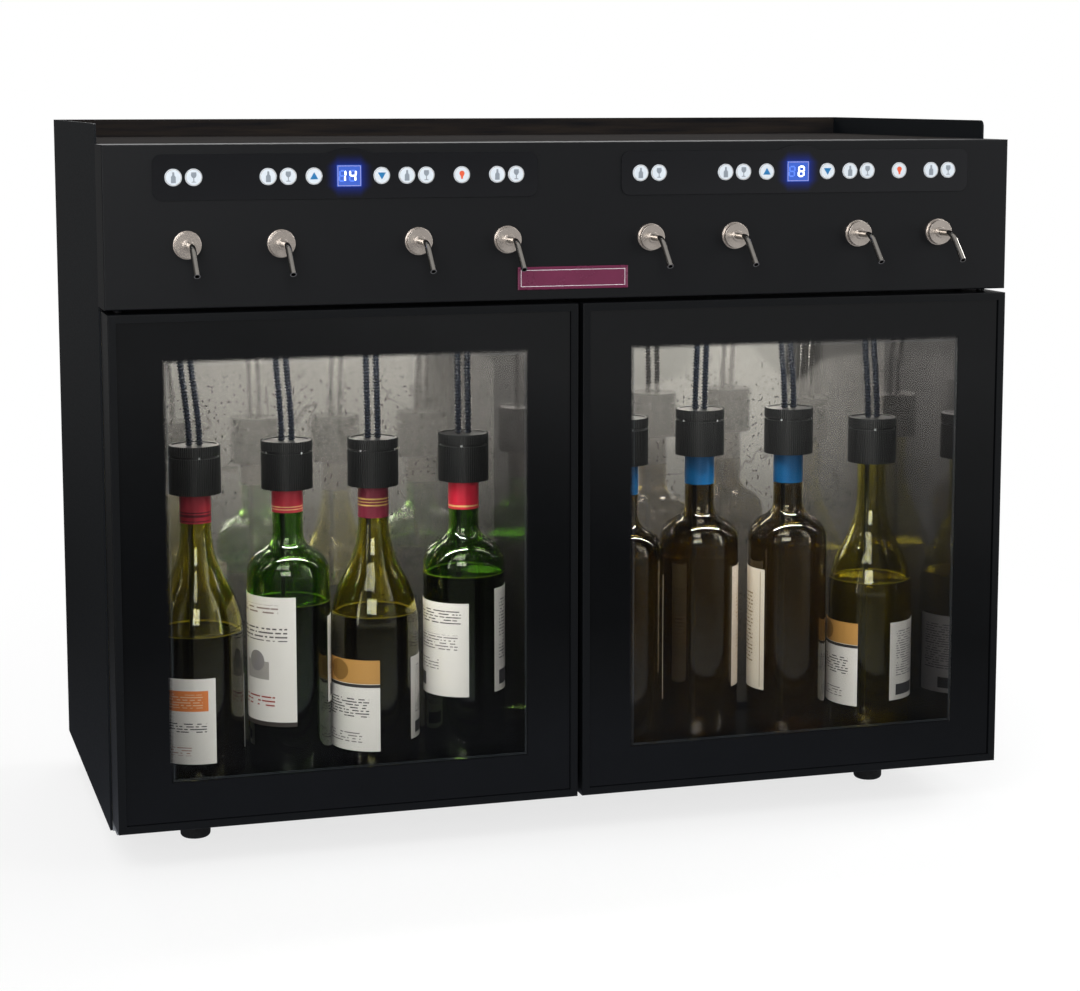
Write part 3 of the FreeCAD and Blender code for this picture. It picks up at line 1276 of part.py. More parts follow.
def door(side, sign):
    """One door: an aluminium frame, a sealed double pane and the magnetic seal."""
    front, back = "front", "front + door_depth"
    slab = rounded("door_soft_" + side, door_layer("door_slab_" + side, sign, (front, back), "0 * skin"),
                   "door_round", lambda edge: abs(edge.CenterOfMass.y - size("front")) < CLOSE)
    face = door_layer("door_face_" + side, sign, (front + " - skin", back), "frame_lip")
    unit_back = "front + lip_depth + 2 * pane + pane_gap"
    groove = door_layer("door_groove_" + side, sign,
                        ("front + lip_depth - fit / 2", unit_back + " + fit / 2"), "frame_wall - fit")
    room = door_layer("door_room_" + side, sign, (unit_back, back + " + skin"), "frame_width")
    window_limit = door_layer("door_limit_" + side, sign, (front + " - skin", unit_back), "frame_lip")
    pins = []
    for name, start in (("low", "door_bottom - skin"), ("high", "door_top - pin_length")):
        pins.append(rod("door_pin_%s_%s" % (name, side), "pin_radius + pin_gap", "pin_length + skin",
                        "%d * hinge_x" % sign, "hinge_y", start))
    face_only = doc.addObject("Part::Common", "door_window_" + side)
    face_only.Base = face
    face_only.Tool = window_limit
    node(cut("door_frame_cut_" + side, slab, [face_only, groove, room] + pins), side + "_door_frame")

    outer_pane = door_layer("outer_pane_" + side, sign, ("front + lip_depth", "front + lip_depth + pane"),
                            "frame_wall")
    inner_pane = door_layer("inner_pane_" + side, sign, (unit_back + " - pane", unit_back), "frame_wall")
    gap = ("front + lip_depth + pane", unit_back + " - pane")
    bar = door_layer("spacer_bar_" + side, sign, gap, "view_side - spacer", "view_side - spacer",
                     "view_bottom - spacer", "view_top - spacer")
    view = door_layer("spacer_view_" + side, sign, (gap[0] + " - skin", gap[1] + " + skin"), "view_side",
                      "view_side", "view_bottom", "view_top")
    spacer_bar = cut("spacer_" + side, bar, [view])
    doc.recompute()
    group(side + "_glass_unit", [outer_pane.Shape, spacer_bar.Shape, inner_pane.Shape])

    depth = (back, "body_front - fit")
    ring = door_layer("seal_ring_" + side, sign, depth, "seal_outer - door_inset", "seal_edge", "seal_edge",
                      "seal_edge")
    inner = "seal_edge + seal_width"
    hole = door_layer("seal_hole_" + side, sign, (back + " - skin", "body_front + skin"),
                      "seal_outer - door_inset + seal_width", inner, inner, inner)
    node(cut("seal_cut_" + side, ring, [hole]), side + "_seal")


def hinge_brackets():
    """A plate with a pin under and over the outer edge of each door."""
    shapes = []
    for side, sign in SIDES:
        x = span("%d * (half - skin - bracket_width / 2)" % sign, "bracket_width")
        axis = "%d * hinge_x" % sign
        low = "door_bottom - bracket_gap"
        plate = block("low_plate_" + side, x, ("hinge_y - 2 * pin_radius", "body_front"),
                      (low + " - bracket", low))
        leg = block("low_leg_" + side, x, ("body_front - skin", "body_front"), ("foot_height", low))
        pin = rod("low_pin_" + side, "pin_radius", "pin_length + bracket_gap - fit", axis, "hinge_y", low)
        shapes.append(fuse("low_hinge_" + side, [plate, leg, pin]))
        inner = "%d * (half - skin - fit - bracket_width / 2)" % sign
        top_plate = block("top_plate_" + side, span(inner, "bracket_width"),
                          ("face + skin + fit", "body_front - skin"),
                          ("deck_bottom + skin", "deck_bottom + skin + bracket"))
        top_pin = rod("top_pin_" + side, "pin_radius", "skin + door_gap + pin_length - fit", axis, "hinge_y",
                      "door_top - pin_length + fit")
        shapes.append(fuse("top_hinge_" + side, [top_plate, top_pin]))
    doc.recompute()
    group("hinge_brackets", [shape.Shape for shape in shapes])


# ---------------------------------------------------------------- the whole machine

for build in (cabinet_shell, top_tray, rear_panel, panel_screws, feet, front_fascia, insulation,
              chamber_liners, floor_trays, light_bars, machine_deck, control_bezels, display_windows,
              control_boards, keys, spouts, spout_flanges, bottles, wine, capsules, labels, stoppers, hoses,
              valve_bank, gas_inlet, cooling_modules, heat_sinks, fans, power_supply, power_inlet,
              hinge_brackets):
    build()
for door_side, door_sign in SIDES:
    door(door_side, door_sign)
doc.recompute()

for item in doc.Objects:
    if "Invalid" in item.State or "Error" in item.State:
        raise RuntimeError("%s failed: %s" % (item.Name, item.State))
for item in NODES:
    if item.Shape.isNull() or not item.Shape.isValid() or not item.Shape.Solids:
        raise RuntimeError("%s has no valid shape" % item.Label)

os.makedirs("parts", exist_ok=True)
for item in NODES:
    item.Shape.exportStep("parts/%s.step" % item.Label)
print("%d pieces" % len(NODES))
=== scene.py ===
import math
from functools import partial

import bpy
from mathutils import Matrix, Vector


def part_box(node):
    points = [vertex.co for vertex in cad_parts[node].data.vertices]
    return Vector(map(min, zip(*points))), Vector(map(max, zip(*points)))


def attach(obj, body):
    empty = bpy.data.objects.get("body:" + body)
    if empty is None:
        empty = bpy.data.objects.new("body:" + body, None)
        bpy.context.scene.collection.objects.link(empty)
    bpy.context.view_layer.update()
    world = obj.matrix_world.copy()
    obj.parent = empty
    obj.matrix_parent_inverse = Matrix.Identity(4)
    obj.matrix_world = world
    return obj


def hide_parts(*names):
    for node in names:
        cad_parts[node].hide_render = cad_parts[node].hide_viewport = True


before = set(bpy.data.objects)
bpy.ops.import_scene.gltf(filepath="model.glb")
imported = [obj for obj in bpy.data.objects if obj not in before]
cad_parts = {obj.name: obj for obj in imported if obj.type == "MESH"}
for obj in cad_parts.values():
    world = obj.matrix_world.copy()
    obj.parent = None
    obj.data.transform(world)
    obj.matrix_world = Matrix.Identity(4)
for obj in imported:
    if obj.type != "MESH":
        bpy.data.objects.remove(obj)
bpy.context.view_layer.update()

MM = 0.001
UPRIGHT = (math.pi / 2, 0, 0)
WHITE = "#ffffff"

# Places of the dispenser's own parts, in millimetres.
FASCIA_FRONT = -176.13
SHELF = 56
# Bottles from left to right: mould, x, y, tap's x, how far the hoses lean to the right, height of the wine,
# glass, wine, foil, and how far the foil reaches down from the top.
BOTTLES = (
    ("burgundy", -332, -51.13, -353.5, -7, 135, "olive", "red", "red_bands", 57),
    ("claret", -246, -51.13, -271.7, -3.5, 158, "green", "red", "red_gold", 52),
    ("burgundy", -164, -51.13, -149.2, 1, 143, "olive", "red", "plum_gold", 60),
    ("claret", -76, -51.13, -67.6, 2, 176, "green", "red", "bright_red", 57),
    ("tall", 76, -76.13, 67.6, 9, 182, "amber", "white", "blue", 59),
    ("tall", 169, -36.13, 149.2, 0, 180, "amber", "white", "blue", 59),
    ("tall", 257, -51.13, 271.7, -1, 184, "amber", "white", "blue", 59),
    ("burgundy", 347, -51.13, 353.5, -1, 146, "olive", "gold", None, 0),
)
# Moulds: body radius, height, end of the straight body, start of the neck.
MOULDS = {"burgundy": (42, 294, 128, 232), "claret": (39, 295, 184, 222), "tall": (39, 307, 190, 228)}
GLASS_WALL = 3
NECK, LIP, LIP_HEIGHT, HEEL = 14.2, 14.6, 12, 5
# How high the wine climbs the glass at its edge, how far it stands off the glass, and how wide that edge is.
RIM_RISE, WINE_GAP, RIM_REACH = 1.1, 0.08, 3
# How far under the bottle's top a foil sleeve ends, and its rows of faces.
CAPSULE_TOP, CAPSULE_ROWS = 12.3, 14
# Labels: bottle, angle of the right edge from the front, angle covered, bottom and top, print.
LABELS = (
    (0, 13, 120, 18, 98, "orange_block"), (0, 150, 70, 22, 92, "back"),
    (1, -1, 120, 46, 168, "tall_white"), (1, 122, 66, 63, 145, "back"),
    (2, -6, 118, 17, 104, "tan_band"), (2, 120, 79, 24, 103, "back"),
    (3, -8, 112, 62, 152, "plain_white"), (3, 118, 85, 64, 164, "back"),
    (4, 140, 68, 46, 168, "seen_from_behind"), (5, 182, 145, 48, 168, "seen_from_behind"),
    (6, -56, 120, 43, 164, "cream"),
    (7, -39, 116, 22, 106, "tan_band"), (7, 92, 86, 28, 107, "back"),
)
PAPER_GAP, PAPER_THICK = 0.06, 0.22
# Displays: distance from the middle, height, half width and half height, and the reach of the blue glow
# painted round them.
DISPLAY_X, KEY_ROW, DISPLAY_HALF, PAINTED_HALO_REACH = 211, 614, (10.3, 8.8), 12
# The doors' clear windows, right of the middle and over the floor, and the band of dots inside their edge.
VIEW_X, VIEW_Z = (48.2, 377.5), (81.5, 457.5)
DOT, FADE = 1.2, 5
# Hinge brackets over this height are made near black: a painted shade for the dark gap they sit in.
PAINTED_SHADE_OVER = 250


# ---------- materials

def colour(code):
    """An sRGB hex value as the linear colour that a socket takes."""
    parts = [int(code[i:i + 2], 16) / 255 for i in (1, 3, 5)]
    return [c / 12.92 if c <= 0.04045 else ((c + 0.055) / 1.055) ** 2.4 for c in parts] + [1]


def feed(made, inputs):
    """Give a node's inputs plain values, hex colours, or links from sockets and other nodes' results."""
    for name, value in inputs.items():
        if isinstance(value, bpy.types.Node):
            value = next(socket for socket in value.outputs if socket.enabled)
        if isinstance(value, bpy.types.NodeSocket):
            made.id_data.links.new(value, made.inputs[name])
        else:
            made.inputs[name].default_value = colour(value) if isinstance(value, str) else value


def add(tree, kind, inputs=None, use=None, **settings):
    """Add one node with its settings, values and links; use is a Mix's data type or another's operation."""
    made = tree.nodes.new("ShaderNode" + kind)
    if use:
        settings["data_type" if kind == "Mix" else "operation"] = use
    for name, value in settings.items():
        setattr(made, name, value)
    feed(made, inputs or {})
    return made


def paint(name, **sockets):
    """A material, what adds nodes to it, and its Principled shader with its plain numbers."""
    made = bpy.data.materials.new(name)
    made.use_nodes = True
    made.node_tree.nodes.clear()
    node = partial(add, made.node_tree)
    numbers = {key.replace("_", " ").title().replace("Ior", "IOR"): value for key, value in sockets.items()}
    shader = node("BsdfPrincipled", numbers)
    node("OutputMaterial", {"Surface": shader})
    return made, node, shader


def topped(made, shader):
    """A material that shows another shader than its first."""
    feed(made.node_tree.nodes["Material Output"], {0: shader})
    return made


def past_window(node, place, window):
    """How far a point lies past the sides, and past the top or bottom, of a mirrored pair of windows."""
    x, y, z = node("SeparateXYZ", {0: place}).outputs
    past = []
    for value, (low, high) in zip((node("Math", {0: x}, "ABSOLUTE"), z), window):
        away = node("Math", {0: value, 1: (low + high) / 2 * MM}, "SUBTRACT")
        away = node("Math", {0: away}, "ABSOLUTE")
        past.append(node("Math", {0: away, 1: (high - low) / 2 * MM}, "SUBTRACT"))
    return past


def grained(name, pale, dark, grain, gloss, relief, stretch=(1, 1, 1), contrast=0.5, spec=0.5,
            **sockets):
    """A finish whose colour, gloss and height follow one grain, its size and relief in millimetres."""
    made, node, shader = paint(name, specular_ior_level=spec, **sockets)
    place = node("TexCoord").outputs["Object"]
    scaled = node("Mapping", {"Vector": place, "Scale": [s / (grain * MM) for s in stretch]})
    noise = node("TexNoise", {"Vector": scaled, "Scale": 1, "Detail": 4, "Roughness": 0.6})
    spread = node("MapRange", {0: noise, 1: 0.5 - contrast / 2, 2: 0.5 + contrast / 2})
    feed(shader, {
        "Base Color": node("Mix", {0: spread, 6: pale, 7: dark}, "RGBA"),
        "Roughness": node("MapRange", {0: noise, 1: 0.3, 2: 0.7, 3: gloss[0], 4: gloss[1]}),
        "Normal": node("Bump", {"Height": noise, "Distance": relief * MM})})
    return made


def glass(name, tint, shadow, ior=1.5, clear=1.0):
    """Clear coloured stuff that lets lamplight through, tinted, to what is behind it."""
    made, node, shader = paint(name, base_color=tint, roughness=0.0, ior=ior, transmission_weight=clear)
    noise = node("TexNoise", {"Vector": node("TexCoord").outputs["Object"], "Scale": 90, "Detail": 2})
    feed(shader, {"Normal": node("Bump", {"Height": noise, "Distance": 0.15 * MM, "Strength": 0.35})})
    light = node("BsdfTransparent", {"Color": shadow})
    lamplit = node("LightPath").outputs["Is Shadow Ray"]
    return topped(made, node("MixShader", {0: lamplit, 1: shader, 2: light}))


# Polyester powder coat, baked: satin black with an orange-peel skin, drawn coarse so that it shows.
POWDER = grained("powder_coat_black", "#101317", "#0d1013", 1.5, (0.46, 0.56), 0.012, spec=0.13)
# The same coat on the front, a little glossier and more neutral, so that it looks crisper.
FASCIA = grained("powder_coat_fascia", "#111214", "#0e0f11", 1.2, (0.4, 0.48), 0.012, spec=0.17)
# Top tray: near black and dead matt, with long brownish streaks along the width.
TRAY = grained("streaked_matt_black_top", "#2a2521", "#18181a", 7, (0.8, 0.95), 0.1, (0.06, 1, 1), 0.35, 0.02)
# Polystyrene, moulded glossy: a black mirror under the bottles, slightly uneven.
FLOOR_TRAY = grained("moulded_polystyrene", "#0c0d0e", "#08090a", 14, (0.06, 0.16), 0.04)
# Zinc plate on small screws: cold and bright with a soft cloud in it.
ZINC = grained("zinc_plate", "#b9bcc0", "#8f9398", 9, (0.3, 0.5), 0.03, metallic=1)
# Hot-dip galvanised sheet: a duller grey with a spangle 14 mm across.
GALVANISED = grained("galvanised_sheet", "#a9adb1", "#868b90", 14, (0.35, 0.55), 0.03, metallic=1)
# Rubber, moulded: matt black with a grain coarser than real.
RUBBER = grained("moulded_rubber", "#141414", "#0d0d0d", 2, (0.65, 0.8), 0.04)
# Polyurethane foam, cut: straw yellow and matt, its cells drawn coarser than real.
FOAM = grained("polyurethane_foam", "#d8cda2", "#c2b483", 2, (0.85, 0.95), 0.5)
# Polycarbonate, printed white from behind: cool, clean keys with a soft highlight.
KEY = grained("printed_polycarbonate_key", "#d4dce3", "#ccd4dc", 3, (0.28, 0.36), 0.002)
# Solder mask on glass-fibre board: glossy green, uneven from a weave that is drawn coarse.
BOARD = grained("solder_mask", "#15573a", "#0e4029", 3, (0.25, 0.4), 0.05)
# Stainless tube, polished: a clear mirror, bright and dark in long streaks.
SPOUT = grained("polished_stainless", "#a29e98", "#96928c", 6, (0.05, 0.1), 0.002, metallic=1)
# Stainless bar, turned and brushed: a warm pale satin.
FLANGE = grained("satin_stainless", "#bcb3ab", "#b4aba3", 12, (0.22, 0.26), 0.0005, metallic=0.75)
# Glass-filled nylon: dark grey, its gloss cloudy with fibres that are drawn coarse.
VALVE = grained("glass_filled_nylon", "#2a2c30", "#202226", 1.5, (0.45, 0.6), 0.03)
# Brass, turned: warm yellow, its shine a little uneven.
BRASS = grained("turned_brass", "#c9a254", "#b08a40", 2, (0.2, 0.32), 0.01, metallic=1)
# Aluminium, extruded: pale grey, its die lines drawn 2 mm apart so that they show.
ALUMINIUM = grained("extruded_aluminium", "#c2c5c8", "#a7abaf", 2, (0.3, 0.42), 0.02, (1, 1, 0.1), metallic=1)
# Aluminium, milled flat: a paler, quieter grey.
PLATE = grained("milled_aluminium", "#c8cacc", "#b2b5b8", 3, (0.25, 0.4), 0.02, metallic=1)
# Nylon, moulded black: half matt, so that a blade shows by its edge.
FAN = grained("moulded_nylon_black", "#17181a", "#101113", 2, (0.4, 0.5), 0.02)
# Phenolic, moulded: hard and dark, a little glossier than the paint round it.
INLET = grained("moulded_phenolic", "#141518", "#0e0f11", 2, (0.3, 0.42), 0.02)
# Aluminium section, anodised black: deep and even, with a faint tooth, coarser than real.
FRAME = grained("anodised_black_aluminium", "#0d0f11", "#0a0b0d", 1.4, (0.3, 0.4), 0.004, spec=0.16)
# Vinyl gasket, extruded: soft matt black.
SEAL = grained("soft_vinyl_seal", "#191a1b", "#121314", 3, (0.55, 0.7), 0.03)
# Polypropylene, moulded: black with a soft highlight down each rib.
STOPPER = grained("moulded_polypropylene", "#141516", "#111213", 1.5, (0.34, 0.42), 0.003, spec=0.38)
# Polyethylene, corrugated: bluish black with a glint on every ring.
HOSE = grained("corrugated_polyethylene", "#0b1019", "#070a10", 2, (0.24, 0.32), 0.003, spec=0.3)
# Pad-printing inks: flat, even colours with crisp edges and the faintest mottle.
GREY_INK = grained("grey_pad_print", "#87909a", "#7b848d", 0.6, (0.4, 0.5), 0.005)
BLUE_INK = grained("blue_pad_print", "#0872ac", "#08689e", 0.6, (0.4, 0.5), 0.005)
RED_INK = grained("red_pad_print", "#e05a30", "#d04c26", 0.6, (0.4, 0.5), 0.005)
# Baked enamel on a pressed plate: deep plum with a smooth sheen, its raised line paler and duller.
PLUM = grained("plum_enamel_plate", "#64203f", "#5e1c3b", 20, (0.26, 0.28), 0.0005)
PALE_LINE = grained("pale_enamel_line", "#d8cfd4", "#c8bfc4", 1, (0.3, 0.4), 0.005)
# Ceramic enamel fired on float glass: black, with the glass's clean mirror.
BLACK_GLASS = grained("enamelled_glass_border", "#08090b", "#060708", 40, (0.03, 0.05), 0.001, spec=0.22)
# Pale grey lugs between the stopper's halves: a painted glint on each lug.
LUG_GLINT = grained("painted_glint_lug", "#8a8d90", "#75787b", 1, (0.35, 0.45), 0.01)
# Polyethylene tube, extruded: black with a long soft highlight.
DIP = grained("black_polyethylene_tube", "#15171a", "#0e1012", 3, (0.3, 0.4), 0.01)
# A thin warm grey ring round each white key: a painted shade for the key's edge.
KEY_RING_SHADE = grained("painted_key_ring_shade", "#a89c90", "#988c80", 1, (0.35, 0.45), 0.005)
# Aluminium spacer, mill finish: a dull grey line behind the panes' black border.
SPACER = grained("grey_spacer_bar", "#7c7f82", "#6e7174", 4, (0.3, 0.4), 0.004, metallic=0.6)


def liner_steel():
    """Polished stainless sheet: a clear mirror at the top, misted and stained below a wavy line."""
    made, node, shader = paint("misted_stainless_liner")
    coords = node("TexCoord").outputs
    place = coords["Object"]
    waves = node("TexNoise", {"Vector": place, "Scale": 7, "Detail": 1, "Distortion": 0.4})
    stain = node("TexNoise", {"Vector": place, "Scale": 15, "Detail": 3, "Distortion": 0.8})
    dust = node("TexNoise", {"Vector": place, "Scale": 330, "Detail": 0})
    # Only the back wall is misted: it faces along y and lies well behind the front flange.
    facing = node("SeparateXYZ", {0: coords["Normal"]}).outputs[1]
    flat = node("Math", {0: node("Math", {0: facing}, "ABSOLUTE"), 1: 0.7}, "GREATER_THAN")
    along, height = node("SeparateXYZ", {0: place}).outputs[1:]
    inside = node("Math", {0: along, 1: -0.08}, "GREATER_THAN")
    back = node("Math", {0: flat, 1: inside}, "MULTIPLY")
    # The mist's upper line wanders by some centimetres; dried drops leave rims and specks below it.
    wavy = node("Math", {0: waves, 1: 0.14, 2: height}, "MULTIPLY_ADD")
    mist = node("MapRange", {0: wavy, 1: 0.496, 2: 0.488})
    off_rim = node("Math", {0: node("Math", {0: stain, 1: 0.5}, "SUBTRACT")}, "ABSOLUTE")
    rim = node("MapRange", {0: off_rim, 1: 0.012, 2: 0.0, 4: 0.5})
    speck = node("Math", {0: dust, 1: 0.71}, "GREATER_THAN")
    marks = node("Math", {0: rim, 1: speck}, "MAXIMUM")
    below_ceiling = node("MapRange", {0: height, 1: 0.43, 2: 0.4})
    for share in (mist, back, below_ceiling):
        marks = node("Math", {0: marks, 1: share}, "MULTIPLY")
    clean = node("Mix", {0: back, 6: "#858487", 7: "#d0cdc9"}, "RGBA")
    feed(shader, {
        "Base Color": node("Mix", {0: marks, 6: clean, 7: "#8c8884"}, "RGBA"),
        "Roughness": node("Mix", {0: back, 2: 0.06, 3: node("Mix", {0: mist, 2: 0.03, 3: 0.085})}),
        "Metallic": node("Mix", {0: back, 2: 0.97, 3: node("Mix", {0: mist, 2: 0.96, 3: 0.84})}),
        "Normal": node("Bump", {"Height": waves, "Distance": 0.5 * MM, "Strength": 0.4})})
    return made


def key_panel():
    """Moulded ABS, glossier than the paint, with a blue glow painted round each display as emission."""
    made = grained("moulded_abs_panel", "#0b0c10", "#090a0d", 1.1, (0.14, 0.2), 0.002, spec=0.4,
                   emission_color="#0c4cff")
    node = partial(add, made.node_tree)
    window = [(middle - half, middle + half) for middle, half in zip((DISPLAY_X, KEY_ROW), DISPLAY_HALF)]
    # Painted glow: the panel emits blue light of its own, strongest at each display's edge and gone a few
    # millimetres out.
    past = past_window(node, node("TexCoord").outputs["Object"], window)
    over = [node("Math", {0: one, 1: 0.0}, "MAXIMUM") for one in past]
    gap = node("Math", {0: over[0], 1: over[1]}, "ADD")
    near = node("MapRange", {0: gap, 1: PAINTED_HALO_REACH * MM, 2: 0.0})
    glow = node("Math", {0: near, 1: 2.2}, "POWER")
    painted_glow_strength = node("Math", {0: glow, 1: 0.2}, "MULTIPLY")
    feed(made.node_tree.nodes["Principled BSDF"], {"Emission Strength": painted_glow_strength})
    return made


def bracket_zinc():
    """Zinc plate on the lower brackets, left bright; the upper ones are near black, as painted shade in the
    gap under the fascia.
    """
    made = grained("bright_zinc_bracket", "#b4b7ba", "#96999c", 4, (0.28, 0.42), 0.02, metallic=0.7)
    node = partial(add, made.node_tree)
    shader = made.node_tree.nodes["Principled BSDF"]
    bright = shader.inputs["Base Color"].links[0].from_socket
    height = node("SeparateXYZ", {0: node("TexCoord").outputs["Object"]}).outputs[2]
    # Painted shade: above this height the zinc colour is replaced by near black.
    upper = node("Math", {0: height, 1: PAINTED_SHADE_OVER * MM}, "GREATER_THAN")
    feed(shader, {"Base Color": node("Mix", {0: upper, 6: bright, 7: "#0e1012"}, "RGBA")})
    return made


def clear_pane():
    """Float glass, clear: only what Fresnel's law reflects is seen of it."""
    made, node, shader = paint("clear_float_glass", base_color=WHITE, metallic=1, roughness=0.0)
    through = node("BsdfTransparent", {"Color": "#fbfbfa"})
    return topped(made, node("MixShader", {0: node("Fresnel", {"IOR": 1.14}), 1: through, 2: shader}))


def glowing(name, tone, strength, base=WHITE):
    """A lit face: diffused lamp light of one colour."""
    return paint(name, base_color=base, roughness=0.5, emission_color=tone, emission_strength=strength)[0]


def foil(name, main, crease, lines=()):
    """Crinkled foil of a capsule, with bands at heights in millimetres above the shelf."""
    made, node, shader = paint(name, metallic=0.3, roughness=0.36)
    place = node("TexCoord").outputs["Object"]
    scaled = node("Mapping", {"Vector": place, "Scale": (250, 250, 90)})
    noise = node("TexNoise", {"Vector": scaled, "Scale": 1, "Detail": 5})
    base = node("Mix", {0: noise, 6: main, 7: crease}, "RGBA")
    height = node("SeparateXYZ", {0: place}).outputs[2]
    for middle, half, tone in lines:
        band = node("Math", {0: height, 1: (SHELF + middle) * MM, 2: half * MM}, "COMPARE")
        base = node("Mix", {0: band, 6: base, 7: tone}, "RGBA")
    # Painted reflection: seen in a mirror, the foil's colour is replaced by a flat grey.
    mirrored = node("LightPath").outputs["Is Glossy Ray"]
    feed(shader, {
        "Base Color": node("Mix", {0: mirrored, 6: base, 7: "#6c6866"}, "RGBA"),
        "Normal": node("Bump", {"Height": noise, "Distance": 0.35 * MM, "Strength": 0.8})})
    return made


def label_print(name, paper, marks):
    """Label paper with flat blocks, rules and discs, placed by the label's own UV map."""
    made, node, shader = paint(name, roughness=0.55)
    coords = node("TexCoord").outputs
    fibre = node("TexNoise", {"Vector": coords["Object"], "Scale": 700, "Detail": 3})
    u, v = node("SeparateXYZ", {0: coords["UV"]}).outputs[:2]
    base = node("Mix", {0: fibre, 6: paper, 7: "#e2dfdc"}, "RGBA")
    for kind, *edges, tone in marks:
        left, right, low, high = (edge / 100 for edge in edges)
        middle, half = ((left + right) / 2, (low + high) / 2, 0), ((right - left) / 2, (high - low) / 2)
        across = node("Math", {0: u, 1: middle[0], 2: half[0]}, "COMPARE")
        up = node("Math", {0: v, 1: middle[1], 2: half[1]}, "COMPARE")
        share = node("Math", {0: across, 1: up}, "MULTIPLY")
        if kind == "disc":
            away = node("VectorMath", {0: node("CombineXYZ", {0: u, 1: v}), 1: middle}, "SUBTRACT")
            even = node("VectorMath", {0: away, 1: (1 / half[0], 1 / half[1], 0)}, "MULTIPLY")
            share = node("Math", {0: node("VectorMath", {0: even}, "LENGTH"), 1: 1}, "LESS_THAN")
        if kind == "rules":
            # 32 lines to a label's height, each broken into runs as long as words.
            lines = node("Math", {0: v, 1: 32}, "MULTIPLY")
            ink = node("Math", {0: node("Math", {0: lines}, "FRACT"), 1: 0.38}, "LESS_THAN")
            along = node("CombineXYZ", {0: u, 1: node("Math", {0: lines}, "FLOOR")})
            words = node("Mapping", {"Vector": along, "Scale": (22, 3.7, 1)})
            dashes = node("TexNoise", {"Vector": words, "Scale": 1, "Detail": 0})
            run = node("Math", {0: dashes, 1: 0.42}, "GREATER_THAN")
            for part in (ink, run):
                share = node("Math", {0: share, 1: part}, "MULTIPLY")
        base = node("Mix", {0: share, 6: base, 7: tone}, "RGBA")
    bump = node("Bump", {"Height": fibre, "Distance": 0.05 * MM, "Strength": 0.6})
    feed(shader, {"Base Color": base, "Normal": bump})
    return made


def dotted_border():
    """The enamel's inner edge: rows of dots, coarser than real, that shrink towards the clear glass."""
    made, node, shader = paint("enamel_dots", roughness=0.1, specular_ior_level=0.22)
    place = node("TexCoord").outputs["Object"]
    grid = node("VectorMath", {0: place, 1: [1 / (DOT * MM)] * 3}, "MULTIPLY")
    cell = node("VectorMath", {0: grid}, "FRACTION")
    centred = node("VectorMath", {0: cell, 1: (0.5, 0.5, 0.5)}, "SUBTRACT")
    flat = node("VectorMath", {0: centred, 1: (1, 0, 1)}, "MULTIPLY")
    length = node("VectorMath", {0: flat}, "LENGTH")
    past_side, past_top = past_window(node, place, (VIEW_X, VIEW_Z))
    edge = node("Math", {0: past_side, 1: past_top}, "MAXIMUM")
    radius = node("MapRange", {0: edge, 1: -FADE * MM, 2: 0.0, 3: 0.12, 4: 0.62})
    dot = node("Math", {0: length, 1: radius}, "LESS_THAN")
    inner = node("MapRange", {0: edge, 1: -0.5 * FADE * MM, 2: -0.9 * FADE * MM})
    feed(shader, {"Base Color": node("Mix", {0: inner, 6: "#0a0b0d", 7: "#5a6064"}, "RGBA")})
    return topped(made, node("MixShader", {0: dot, 1: node("BsdfTransparent"), 2: shader}))


LINER = liner_steel()
BEZEL = key_panel()
BRACKET = bracket_zinc()
PANE = clear_pane()
DOTS = dotted_border()
# Opal diffuser of the chamber lamps: an even warm white.
LIGHT = glowing("lit_diffuser", "#fffcf8", 5)
# Blue acrylic filter, its segments bright where lit and pale blue where not, and its frame.
DISPLAY = glowing("lit_blue_filter", "#3464d4", 0.85, "#081040")
DIGIT = glowing("lit_segment", "#e2f2ff", 2.0)
GHOST = glowing("unlit_segment", "#6088e0", 0.9, "#1838a0")
PALE_FRAME = glowing("lit_display_frame", "#9c98c8", 0.75, "#707090")
# Moulded bottle glass: its colour gathers where the wall is seen edge on.
GLASSES = {
    "olive": glass("olive_bottle_glass", "#e0d862", "#e0dca0"),
    "green": glass("green_bottle_glass", "#96c85c", "#acd690"),
    "amber": glass("amber_bottle_glass", "#988646", "#beae78"),
}
# Red wine is black in a bottle; white wine takes the glass's colour, and both get a little haze.
WINES = {
    "red": grained("red_wine", "#0c080f", "#08050b", 30, (0.03, 0.05), 0.001),
    "white": glass("white_wine", "#e6d2b0", "#e0cea4", 1.34, 0.94),
    "gold": glass("gold_wine", "#b8aa50", "#c0b46c", 1.34, 0.96),
}
# A pale olive line on the raised rim of red and gold wine: a painted highlight for light coming through the
# glass at the wine's edge.
WINE_RIM_HIGHLIGHT = grained("wine_drawn_up_the_glass", "#747038", "#68642f", 20, (0.1, 0.2), 0.001)
# Tin foil, lacquered and crimped: soft metallic colour with creases, and printed bands.
FOILS = {
    "red_bands": foil("red_capsule_foil", "#9c2434", "#7c1a28",
                      ((244, 1.2, "#4a0c16"), (247, 0.6, "#4a0c16"), (239, 0.5, "#4a0c16"))),
    "red_gold": foil("crimson_capsule_foil", "#bc3242", "#a02434",
                     ((246, 0.5, "#d8a878"), (248.5, 0.5, "#d8a878"))),
    "plum_gold": foil("plum_capsule_foil", "#842c40", "#682030",
                      ((246, 0.7, "#c8a860"), (249, 0.5, "#c8a860"), (252, 0.7, "#c8a860"))),
    "bright_red": foil("scarlet_capsule_foil", "#d82640", "#b81c34", ((241, 0.8, "#e0b878"),)),
    "blue": foil("blue_capsule_foil", "#00568c", "#004878"),
}
